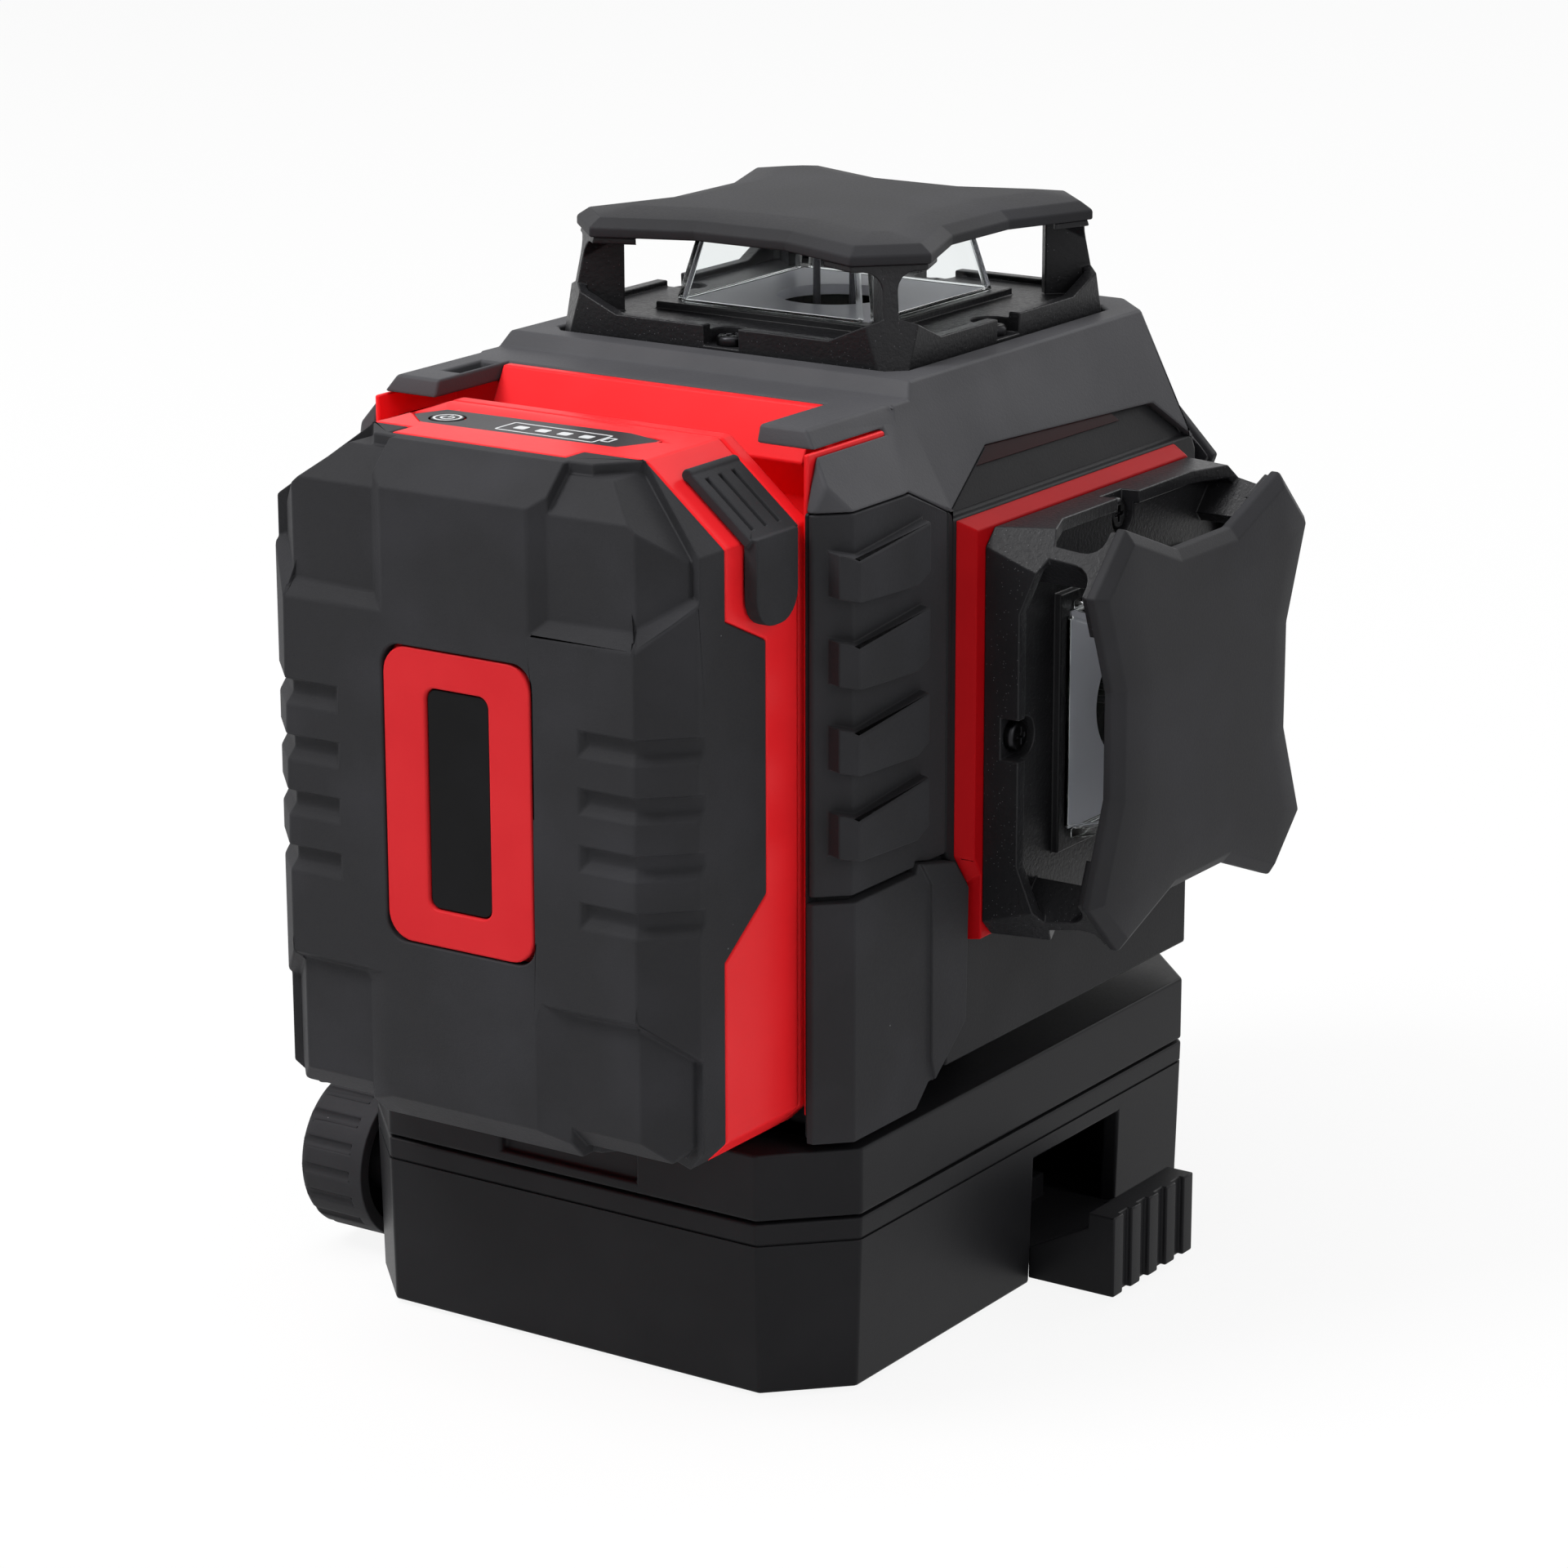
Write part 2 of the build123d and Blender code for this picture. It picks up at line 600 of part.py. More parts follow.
def head_frame():
    """Square frame with a low wall, four diagonal corner webs and a seat for the cap."""
    ring_low = rim_height - rim_thick - 0.9
    ring_top = rim_height - rim_thick
    leaning = tapered(
        eight(head_half, head_half, head_corner), eight(cap_half - 0.3, cap_half - 0.3, cap_corner),
        0, ring_top,
    )
    frame = leaning & block((-40, 40), (-40, 40), (0, wall_corner))
    side_cut = [(-24.4, 30), (-24.4, wall_corner), (-16.5, wall_height), (16.5, wall_height),
                (24.4, wall_corner), (24.4, 30)]
    for plane in (Plane.XZ, Plane.YZ):
        frame -= prism(side_cut, plane, 60)
    gutter = extrude(outline(eight(head_half - 1.6, head_half - 1.6, 3.0)), amount=40)
    frame -= Pos(0, 0, wall_height - 0.8) * gutter
    frame += block((-glass_low - 1.2, glass_low + 1.2), (-glass_low - 1.2, glass_low + 1.2),
                   (wall_height - 1, wall_height + 0.2))
    corner_reach = head_half * sqrt(2)
    for quarter in range(4):
        web = Rot(0, 0, 45 + 90 * quarter) * block(
            (corner_reach - web_depth - 1, corner_reach + 5), (-web_thick / 2, web_thick / 2),
            (wall_height - 1, ring_top),
        )
        frame += web & leaning
        shelf = Rot(0, 0, 45 + 90 * quarter) * block((29.5, 40), (-9, 9), (ring_low, ring_top))
        frame += shelf & leaning
    opening = glass_low - glass_ledge
    frame -= block((-opening, opening), (-opening, opening), (-5, 30))
    for quarter in range(4):
        turn = Rot(0, 0, 90 * quarter)
        frame -= turn * rod("Z", (0, -head_screw_reach), (head_screw_seat, 30), 2.7)
        frame -= turn * block((-2.7, 2.7), (-40, -head_screw_reach), (head_screw_seat, 30))
        frame -= turn * rod("Z", (0, -head_screw_reach), (-5, 30), head_screw_hole)
    return frame


def head_cap():
    rim = extrude(outline(cap_outline()), amount=rim_thick)
    low = Pos(0, 0, rim_thick) * outline(cap_outline())
    high = Pos(0, 0, rim_thick + 1.2) * outline(cap_outline(1.6, cap_valley + 1.6))
    top = Pos(0, 0, rim_thick + crown) * outline(cap_outline(7.0, cap_valley + 2.6))
    cap = rim + loft([low, high], ruled=True) + loft([high, top], ruled=True)
    return Pos(0, 0, rim_height - rim_thick) * cap


def head_floor():
    size = 2 * (glass_low - glass_ledge - slip)
    plate = Pos(0, 0, wall_height - 0.5) * Box(size, size, 1.4)
    return plate - Cylinder(port_radius, 40)


def glass_box():
    """Four glass plates that lean inwards, with open corners between them."""
    foot = wall_height + 0.2
    top = rim_height - rim_thick - 0.05
    lean = glass_low - glass_high
    pane = [
        (1.9 - glass_low, foot), (glass_low - 1.9, foot), (glass_high - 1.9, top),
        (1.9 - glass_high, top),
    ]
    upright = extrude(Plane.XZ * outline(pane), amount=60)
    slab = [(-glass_low, foot), (-glass_low + glass_thick, foot), (-glass_high + glass_thick, top),
            (-glass_high, top)]
    slab = prism(slab, Plane.YZ, 60)
    plate = upright & slab
    return [Rot(0, 0, 90 * quarter) * plate for quarter in range(4)]


head_screw = pan_screw(2.1, 1.3, 1.15, 4.5)
screws = []
floors = []
glasses = []
for name, place in head_places.items():
    save(name + "_head_frame", place * head_frame())
    save(name + "_head_cap", place * head_cap())
    floors.append(place * head_floor())
    glasses += [place * plate for plate in glass_box()]
    for quarter in range(4):
        spot = Rot(0, 0, 90 * quarter) * Pos(0, -head_screw_reach, head_screw_seat)
        screws.append(place * spot * head_screw)
save("side_bezel", side_place * bezel(side_bezel_foot, side_bezel_top))
save("rear_bezel", rear_place * bezel(eight(28.4, 28.4, 3.0), eight(27.0, 27.0, 2.6)))
save("head_floors", group(floors))
save("head_glass", group(glasses))
save("head_screws", group(screws))

# --------------------------------------------------------- levelling unit

yoke_low = 106.3
yoke = block((-body_half + wall + slip, body_half - wall - slip), (head_y - 20, head_y + 20),
             (yoke_low, yoke_low + 3))
yoke -= rod("Z", (0, head_y), (90, 130), ring_outer + 1.7)
for side in (1, -1):
    x_span = sorted((side * (ring_outer + 0.8), side * (ring_outer + 3.3)))
    yoke += block(x_span, (head_y - 5, head_y + 5), (pivot_z - 4, yoke_low + 1))
yoke -= rod("X", (head_y, pivot_z), (-25, 25), pivot_pin + bearing)
save("gimbal_yoke", yoke)

ring_span = (pivot_z - ring_height / 2, pivot_z + ring_height / 2)
ring = rod("Z", (0, head_y), ring_span, ring_outer) - rod("Z", (0, head_y), ring_span, ring_inner)
ring -= rod("Y", (0, pivot_z), (head_y - 20, head_y + 20), pivot_pin + bearing)
for side in (1, -1):
    x_span = sorted((side * (ring_inner + 1), side * (ring_outer + 3.2)))
    ring += rod("X", (head_y, pivot_z), x_span, pivot_pin)
save("gimbal_ring", ring)

pendulum = rod("Z", (0, head_y), (pendulum_low + 30, pivot_z + 5), neck_radius)
pendulum += block((-pendulum_half, pendulum_half), (head_y - pendulum_half, head_y + pendulum_half),
                  (pendulum_low, pendulum_low + 34))
for side in (1, -1):
    y_span = sorted((head_y + side * (neck_radius - 1), head_y + side * (ring_outer - 0.4)))
    pendulum += rod("Y", (0, pivot_z), y_span, pivot_pin)
module_bore = module_radius + 0.02
pendulum -= rod("Z", (0, head_y), (pivot_z - 6, pivot_z + 10), module_bore)
pendulum -= rod("X", (head_y, head_z), (module_radius, 30), module_bore)
pendulum -= rod("Y", (0, head_z), (head_y + module_radius, head_y + 30), module_bore)
save("pendulum", pendulum)

weight = rod("Z", (0, head_y), (pendulum_low - 8, pendulum_low), 11.0)
save("pendulum_weight", weight)
disc = rod("Z", (0, head_y), (pendulum_low - 10, pendulum_low - 8), 13.0)
save("damping_disc", disc)


def laser_module(barrel, cone_top):
    """A barrel, its lens neck and two thin posts that hold the cone; along +Z from 0."""
    unit = Pos(0, 0, barrel / 2) * Cylinder(module_radius, barrel)
    unit += Pos(0, 0, barrel + 1) * Cylinder(module_radius - 1.2, 2.0)
    unit -= Pos(0, 0, barrel) * Cylinder(1.5, 8)
    post_low = barrel + 1.0
    post_high = cone_top - 1.6
    for side in (1, -1):
        post = Cylinder(0.5, post_high - post_low)
        unit += Pos(side * 2.85, 0, (post_low + post_high) / 2) * post
    collar = Cylinder(cone_radius, 1.0) - Cylinder(2.2, 1.0)
    return unit + Pos(0, 0, cone_top - 1.7) * collar


def cone_mirror(cone_top):
    cone = Pos(0, 0, cone_top - 2.4) * Cone(0.3, 2.0, 2.8)
    return cone + Pos(0, 0, cone_top - 0.6) * Cylinder(cone_radius, 1.2)


module_start = module_radius + 1.0
module_places = {
    "top": (Plane(origin=(0, head_y, pivot_z - 6)), 18.0, 39.0),
    "side": (
        Plane(origin=(module_start, head_y, head_z), x_dir=(0, 1, 0), z_dir=(1, 0, 0)), 23.5, 45.3,
    ),
    "rear": (
        Plane(origin=(0, head_y + module_start, head_z), x_dir=(1, 0, 0), z_dir=(0, 1, 0)),
        25.5, 44.9,
    ),
}
modules = []
cones = []
for place, barrel, cone_top in module_places.values():
    modules.append(place * laser_module(barrel, cone_top))
    cones.append(place * cone_mirror(cone_top))
save("laser_modules", group(modules))
save("cone_mirrors", group(cones))

magnets = [rod("Z", (0, head_y + y), (body_step + wall, 44.5), 3.0) for y in (-10, 10)]
save("damping_magnets", group(magnets))

# ------------------------------------------------------- lock and controls

lock_pad = rod("Z", (0, head_y), (42.6, 44.4), 5.5)
lock_pad += rod("Z", (0, head_y), (body_step + wall + 0.3, 43), pad_stem)
save("lock_pad", lock_pad)

slot_y, slot_z = lock_spot
face_x = -body_half
inside_x = wall - body_half
lock_slider = block((face_x - 1.6, face_x + 1.4), (slot_y - 4.5, slot_y + 4.5),
                    (slot_z - 2.6, slot_z + 2.6))
for step in range(4):
    y = slot_y - 3.4 + 2.0 * step
    lock_slider -= block((face_x - 2, face_x - 1.0), (y, y + 0.8), (0, 100))
lock_slider += block((inside_x + swing, inside_x + 1.9), (slot_y - 6, slot_y + 6),
                     (slot_z - 5, slot_z + 5))
lock_slider += block((face_x + 1.0, inside_x + 1), (slot_y - 4, slot_y + 4),
                     (slot_z - 2.2, slot_z + 2.2))
wedge = [(5, 40.4), (20, 40.4), (20, 42.2), (13, 42.2), (5, 44.4)]
wedge_reach = -inside_x - 0.8
lock_slider += prism(wedge, Plane.YZ, wedge_reach) & block(
    (-wedge_reach, -pad_stem - 2.6), (0, 40), (40, 50)
)
lock_slider += block((inside_x + swing, inside_x + 1.9), (12, 20), (40.4, 47))
lock_slider = Pos(0, -lock_travel / 2, 0) * lock_slider
save("lock_slider", lock_slider)

board = block((board_x, board_x + board_thick), board_y, board_z)
switches = [block((board_x - 2.4, board_x), (y - 3, y + 3), (z - 3, z + 3)) for y, z in key_spots]
save("main_board", group([board] + switches))

for index, spot in enumerate(key_spots, start=1):
    key = rod("X", spot, (-body_half - 0.8, -body_half + wall + 0.6), 4.0 - 0.2)
    key += rod("X", spot, (-body_half + wall + 0.2, -body_half + wall + 1.4), 5.2)
    key = fillet(key.edges().sort_by(Axis.X)[0], 0.5)
    save("mode_key_%d" % index, key)

# --------------------------------------------------------------- battery

pack_face = both_sides([
    (pack_half - pack_bottom_corner, pack_low), (pack_half, pack_low + pack_bottom_corner),
    (pack_half, pack_chamfer_z), (pack_chamfer_x, pack_top),
])
pack_plan = [
    (pack_half, -pack_front + pack_bevel), (pack_half - pack_bevel, -pack_front),
    (pack_bevel - pack_half, -pack_front), (-pack_half, -pack_front + pack_bevel),
    (-pack_half, 0), (pack_half, 0),
]
pack_side = [
    (-pack_front, pack_low + 4.0), (-pack_front + 4.0, pack_low), (0, pack_low), (0, pack_top),
    (-pack_front + 5.0, pack_top), (-pack_front, pack_top - 5.0),
]


def pack_solid(inset=0.0):
    shape = prism(pack_face, Plane.XZ, 100, inset)
    shape &= prism(pack_plan, Plane.XY, 200, inset)
    shape &= prism(pack_side, Plane.YZ, 100, inset)
    return shape


cover_edge = [
    (-100, 0), (-61, 0), (-61, 61.5), (-52, 68), (-52, 100), (-60.6, 104), (-60.6, 200), (-100, 200),
]
cover_zone = prism(cover_edge, Plane.YZ, 100)
lip = block((-15, 11.5), (-64.4, -55), (110, 200))
pack = pack_solid()
cover_zone -= lip
cover = (pack - pack_solid(cover_thick)) & cover_zone

# Sunk panels and grooves, each on the flat front and round the bevel beside it.
crease = (pack_half - pack_bevel, -pack_front, 0)
front_place = Plane(origin=crease, x_dir=(1, 0, 0), z_dir=(0, -1, 0))
bevel_place = Plane(origin=crease, x_dir=(1, 1, 0), z_dir=(1, -1, 0))
mitre_place = Plane(origin=crease, z_dir=(0.924, 0.383, 0))


def sunk(outer, inner, depth, further=0.0):
    """A cut whose walls slope from an outer to an inner outline, mitred at the crease.

    Each outline is two lists of (distance from the crease, height): front, bevel."""
    cuts = []
    for place, wide, narrow, keep in zip(
        (front_place, bevel_place), outer, inner, (-200, 200), strict=True
    ):
        cut = loft([Pos(0, 0, 0.1) * outline(wide), Pos(0, 0, -depth) * outline(narrow)], ruled=True)
        if further:
            cut += Pos(0, 0, -depth) * extrude(outline(narrow), amount=-further)
        half = extrude(mitre_place * Rectangle(400, 400), amount=keep)
        cuts.append(place * cut & half)
    return cuts[0] + cuts[1]


def window_edges(left, right, low, high):
    return [(left, low), (right, low), (right, high), (left, high)]


panel_depth = 1.5
groove_depth = 1.0
upper_panel = sunk(
    ([(-15.6, 101.6), (0, 101.5), (4, 101.5), (4, 150), (-15.6, 150)],
     [(-4, 101.5), (0, 101.5), (7.8, 106.9), (12, 109.8), (12, 150), (-4, 150)]),
    ([(-13.3, 103.7), (0.5, 104.0), (4, 104.0), (4, 150), (-13.3, 150)],
     [(-4, 104.0), (0, 104.0), (7.8, 107.9), (12, 110.6), (12, 150), (-4, 150)]),
    panel_depth, 12,
)
lower_panel = sunk(
    ([(-15.6, 20), (4, 20), (4, 55.8), (-13.7, 55.6), (-15.6, 53.5)],
     [(-4, 20), (12, 20), (12, 47.0), (7.8, 50.7), (0, 55.8), (-4, 55.8)]),
    ([(-11.0, 20), (4, 20), (4, 54.8), (-10.0, 54.6), (-11.0, 53.5)],
     [(-4, 20), (12, 20), (12, 46.0), (7.8, 49.8), (0, 54.8), (-4, 54.8)]),
    panel_depth, 12,
)
panels = (upper_panel + lower_panel) & (pack - pack_solid(panel_depth))
panels &= prism([
    (10, -100), (10, -66.2), (16.5, -65.8), (20.6, -60.6), (32.4, -66.2), (32.4, -100),
], Plane.XY, 200)
for step in range(4):
    low = 87.7 - groove_pitch * step
    high = low + 3.5
    panels += sunk(
        (window_edges(-8.3, 3, low, high), window_edges(-3, 12, low, high)),
        (window_edges(-7.3, 3, low + 1.6, high - 0.3), window_edges(-3, 12, low + 1.6, high - 0.3)),
        groove_depth,
    )
cover -= panels
cover -= mirror(panels, about=Plane.YZ)
label_room = block((-label_half, label_half), (-80, -pack_front + cover_thick + 0.5),
                   (label_low, label_high))
label_room = fillet(label_room.edges().filter_by(Axis.Y), label_corner + slip)
cover -= label_room
save("battery_cover", cover)

case = pack & block((-100, 100), (-100, -pack_seam), (0, 200))
case -= (pack - pack_solid(cover_thick)) & cover_zone
case -= pack_solid(cover_thick + pack_wall)
case -= label_room
overlay = [(-20, -53.5), (-18, -49), (9.5, -48), (16, -50), (13, -56.2), (-16, -57.2)]
overlay_room = Pos(0, 0, pack_top - 0.5) * extrude(outline(overlay), amount=5)
case -= overlay_room
gauge_spot = (-14.8, -53.2)
case -= rod("Z", gauge_spot, (110, 130), 2.4)
flap_lean = Vector(pack_top - pack_chamfer_z, 0, pack_half - pack_chamfer_x).normalized()
flap_plane = Plane(origin=(pack_chamfer_x, 0, pack_top), x_dir=(0, 1, 0), z_dir=flap_lean)
slope_length = sqrt((pack_half - pack_chamfer_x) ** 2 + (pack_top - pack_chamfer_z) ** 2)
flap_y = (-57.6, -47.4)
usb_room = block((pack_half - 12, pack_half + 5), (flap_y[0] + 1.2, flap_y[1] - 1.2), (107.2, 111.4))
case -= usb_room
save("battery_case", case)

back = pack & block((-100, 100), (-pack_seam + 0.2, -pack_rear), (0, 200))
back += block((-tongue_half, tongue_half), (-pack_rear - 0.5, -tongue_back), (40, 108))
back -= block((-tongue_half + 2, tongue_half - 2), (-pack_seam - 1, -tongue_back - 2), (42, 106))
back -= block((-5, 5), (-40, -tongue_back + 1), (45, 49))
save("battery_back", back)

contact_x = (-3.4, 0, 3.4)
contacts = [
    block((x - 0.8, x + 0.8), (-tongue_back - 3.2, -tongue_back - 0.6), (45, 49))
    for x in contact_x
]
save("battery_contacts", group(contacts))
pins = [rod("Y", (x, 47), (-tongue_back - 0.35, -bay_back + 4), 0.7) for x in contact_x]
pin_block = block((-5.6, 5.6), (-liner_back + 0.1, -bay_back + 3), (44.3, 49.7))
save("contact_pins", pin_block + pins)

cell_low = pack_low + cover_thick + pack_wall + 0.3
cells = [
    rod("Z", (x, -56.6), (cell_low, cell_low + cell_length), cell_radius)
    for x in (-cell_pitch, 0, cell_pitch)
]
save("battery_cells", group(cells))
cell_top = cell_low + cell_length
save("battery_board", block((-26, 20), (-66, -47), (cell_top + 0.3, cell_top + 0.3 + board_thick)))

label_top = -pack_front + 0.1
label_frame = block((-label_half + slip, label_half - slip),
                    (label_top, -pack_front + cover_thick + 0.4),
                    (label_low + slip, label_high - slip))
label_frame = fillet(label_frame.edges().filter_by(Axis.Y), label_corner)
plate_room = block((-4.8, 4.8), (-80, -pack_front + 1.4), (64.9, 93.1))
label_frame -= plate_room
save("label_frame", label_frame)
save("label_plate", block((-4.65, 4.65), (-pack_front + 0.5, -pack_front + 1.4), (65.05, 92.95)))

gauge = Pos(0, 0, pack_top - 0.5) * extrude(offset(outline(overlay), amount=-0.1), amount=0.3)
gauge -= rod("Z", gauge_spot, (110, 130), 2.4)
save("gauge_overlay", gauge)
wall_under = pack_top - cover_thick - pack_wall
gauge_key = rod("Z", gauge_spot, (wall_under - 1.0, pack_top - 0.15), 2.1)
gauge_key += rod("Z", gauge_spot, (wall_under - 1.4, wall_under - swing), 3.0)
save("gauge_key", gauge_key)

flap_thick = 1.3
flap_start = 4.3
flap_end = slope_length + 0.9
flap = flap_plane * Pos(
    (flap_y[0] + flap_y[1]) / 2, -(flap_start + flap_end) / 2, flap_thick / 2 + swing
) * Box(flap_y[1] - flap_y[0], flap_end - flap_start, flap_thick)
hinge_spot = flap_plane * Pos(0, -flap_start, flap_thick / 2 + swing)
flap += rod("Y", (hinge_spot.position.X, hinge_spot.position.Z), flap_y, flap_thick / 2 + 0.15)
flap += block((pack_half + swing, pack_half + 2.3), (-57.2, -48.4), (102.4, 113.6))
flap += block((pack_half - 1.2, pack_half + 1), (flap_y[0] + 2.2, flap_y[1] - 2.2), (107.9, 110.0))
save("usb_flap", flap)
usb = block((pack_half - 11, pack_half - 3.6), (flap_y[0] + 1.4, flap_y[1] - 1.4), (107.4, 111.2))
usb -= block((pack_half - 10, pack_half), (flap_y[0] + 1.9, flap_y[1] - 1.9), (107.9, 110.7))
save("usb_port", usb)
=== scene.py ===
from math import copysign, cos, radians, sin

import bpy
from mathutils import Euler, Matrix, Quaternion, Vector
from mathutils.bvhtree import BVHTree


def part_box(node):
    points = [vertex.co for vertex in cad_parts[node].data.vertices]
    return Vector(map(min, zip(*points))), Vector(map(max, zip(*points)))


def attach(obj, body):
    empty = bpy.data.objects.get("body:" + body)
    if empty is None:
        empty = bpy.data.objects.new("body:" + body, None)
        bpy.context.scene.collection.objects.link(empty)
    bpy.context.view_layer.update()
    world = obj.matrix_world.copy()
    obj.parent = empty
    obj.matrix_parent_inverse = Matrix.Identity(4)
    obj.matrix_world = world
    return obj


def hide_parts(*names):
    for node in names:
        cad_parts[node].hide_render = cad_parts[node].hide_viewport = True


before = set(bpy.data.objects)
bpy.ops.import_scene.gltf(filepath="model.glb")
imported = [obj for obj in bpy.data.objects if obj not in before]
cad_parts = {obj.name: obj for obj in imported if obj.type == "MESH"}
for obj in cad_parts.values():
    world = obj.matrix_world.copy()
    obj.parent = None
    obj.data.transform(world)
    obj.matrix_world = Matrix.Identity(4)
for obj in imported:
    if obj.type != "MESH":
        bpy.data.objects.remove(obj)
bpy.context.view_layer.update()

# ---------------------------------------------------------------- studio
# A tripod camera low in front of the battery's right-hand corner, four soft
# boxes and a pale sweep. The sweep keeps the tool's soft shadow.

MM = 0.001
aim = Vector((-0.3, 0.0, 64.35)) * MM
camera_turn = radians(33.81)
camera_height = radians(16.05)
camera_roll = radians(-0.112)
camera_distance = 660.4 * MM
towards_camera = Vector((
    sin(camera_turn) * cos(camera_height), -cos(camera_turn) * cos(camera_height), sin(camera_height),
))
bpy.ops.object.camera_add(location=aim + towards_camera * camera_distance)
camera = bpy.context.active_object
camera.name = "tripod_camera"
camera.rotation_mode = "QUATERNION"
roll_turn = Quaternion((0, 0, 1), camera_roll)
camera.rotation_quaternion = (-towards_camera).to_track_quat("-Z", "Y") @ roll_turn
camera.data.lens = 112.84
camera.data.sensor_width = 36.0
camera.data.clip_start = 0.01
bpy.context.scene.camera = camera
bpy.context.scene.view_settings.view_transform = "Standard"


def add_soft_box(name, place, width, watts):
    """A square lamp that looks at the middle of the tool."""
    bpy.ops.object.light_add(type="AREA", location=place)
    lamp = bpy.context.active_object
    lamp.name = name
    lamp.data.size = width
    lamp.data.energy = watts
    lamp.rotation_mode = "QUATERNION"
    lamp.rotation_quaternion = (aim - Vector(place)).to_track_quat("-Z", "Y")


add_soft_box("overhead_box", (-0.2, -0.2, 1.5), 0.9, 10.0)
add_soft_box("left_box", (-0.75, -0.95, 1.6), 0.6, 23.0)
add_soft_box("right_box", (1.5, -0.5, 0.9), 0.8, 4.5)
add_soft_box("rear_box", (0.3, 1.6, 0.9), 1.0, 6.0)


def to_linear(hex_colour):
    """A #rrggbb colour as linear RGBA."""
    channels = [int(hex_colour[start:start + 2], 16) / 255 for start in (1, 3, 5)]
    low = 0.04045
    return [c / 12.92 if c <= low else ((c + 0.055) / 1.055) ** 2.4 for c in channels] + [1.0]


def add_node(tree, kind, values=None, links=None, **settings):
    """Adds a shader node, sets its properties and sockets, and links what feeds it."""
    node = tree.nodes.new("ShaderNode" + kind)
    for name, value in settings.items():
        setattr(node, name, value)
    for socket, value in (values or {}).items():
        node.inputs[socket].default_value = value
    for socket, source in (links or {}).items():
        tree.links.new(source, node.inputs[socket])
    return node


def seen_directly(tree):
    """1 for a ray from the camera, a reflection or a clear pane, else 0."""
    path = add_node(tree, "LightPath")
    glossy = add_node(tree, "Math", links={
        0: path.outputs["Is Camera Ray"], 1: path.outputs["Is Glossy Ray"],
    }, operation="MAXIMUM")
    return add_node(tree, "Math", links={
        0: glossy.outputs[0], 1: path.outputs["Is Transmission Ray"],
    }, operation="MAXIMUM").outputs[0]


world = bpy.data.worlds.new("studio_air")
bpy.context.scene.world = world
world.use_nodes = True
world.node_tree.nodes.clear()
room_light = add_node(world.node_tree, "Background", {0: to_linear("#ffffff"), "Strength": 0.24})
white_wall = add_node(world.node_tree, "Background", {0: to_linear("#ffffff"), "Strength": 1.0})
air = add_node(world.node_tree, "MixShader", links={
    0: seen_directly(world.node_tree), 1: room_light.outputs[0], 2: white_wall.outputs[0],
})
add_node(world.node_tree, "OutputWorld", links={"Surface": air.outputs[0]})

# Seamless paper: matt white, shown mostly at its own white so that only the
# shadow darkens it.
paper = bpy.data.materials.new("seamless_paper")
paper.use_nodes = True
paper.node_tree.nodes.clear()
matt = add_node(paper.node_tree, "BsdfDiffuse", {"Color": to_linear("#f4f4f4")})
glow = add_node(paper.node_tree, "Emission", {"Color": to_linear("#ffffff"), "Strength": 1.0})
share = add_node(paper.node_tree, "Math", {1: 0.9}, {0: seen_directly(paper.node_tree)},
                 operation="MULTIPLY")
lit_paper = add_node(paper.node_tree, "MixShader", links={
    0: share.outputs[0], 1: matt.outputs[0], 2: glow.outputs[0],
})
add_node(paper.node_tree, "OutputMaterial", links={"Surface": lit_paper.outputs[0]})
bpy.ops.mesh.primitive_plane_add(size=12.0, location=(0, 0, -0.0001))
sweep = bpy.context.active_object
sweep.name = "paper_sweep"
sweep.data.materials.append(paper)

# ------------------------------------------------- feet and underside screws
# Four pressed-in rubber discs, four self-tapping screws and the brass tripod
# insert, all let into the base plate from below.


def only(piece):
    """Leaves one piece selected and active."""
    bpy.ops.object.select_all(action="DESELECT")
    piece.select_set(True)
    bpy.context.view_layer.objects.active = piece


def rounded(piece, edge, steps=2, crease=28):
    """Gives a piece's sharp edges a mould's or a tumbler's radius, and smooth shading.

    Where edges meet at a narrow angle the radius overshoots, so a point that leaves
    the first surface by more than half the radius is laid back onto it."""
    only(piece)
    first_surface = BVHTree.FromObject(piece, bpy.context.evaluated_depsgraph_get())
    bpy.ops.object.mode_set(mode="EDIT")
    bpy.ops.mesh.select_mode(type="EDGE")
    bpy.ops.mesh.select_all(action="DESELECT")
    bpy.ops.mesh.edges_select_sharp(sharpness=radians(crease))
    bpy.ops.mesh.bevel(offset=edge, segments=steps, clamp_overlap=False)
    bpy.ops.object.mode_set(mode="OBJECT")
    for point in piece.data.vertices:
        nearest, _, _, distance = first_surface.find_nearest(point.co)
        if distance > 0.5 * edge:
            point.co = nearest
    smoothed(piece)


def smoothed(piece):
    """Shades the rounds smoothly and leaves whole faces flat."""
    only(piece)
    bpy.ops.mesh.customdata_custom_splitnormals_clear()
    bpy.ops.object.shade_smooth_by_angle(angle=radians(50))
    weight = piece.modifiers.new("flat_faces", "WEIGHTED_NORMAL")
    weight.keep_sharp = True
    bpy.ops.object.modifier_apply(modifier=weight.name)


def split_faces(piece, place, across):
    """Divides a piece's faces along a plane, which leaves its shape as it was."""
    only(piece)
    bpy.ops.object.mode_set(mode="EDIT")
    bpy.ops.mesh.select_all(action="SELECT")
    bpy.ops.mesh.bisect(plane_co=place, plane_no=across)
    bpy.ops.object.mode_set(mode="OBJECT")


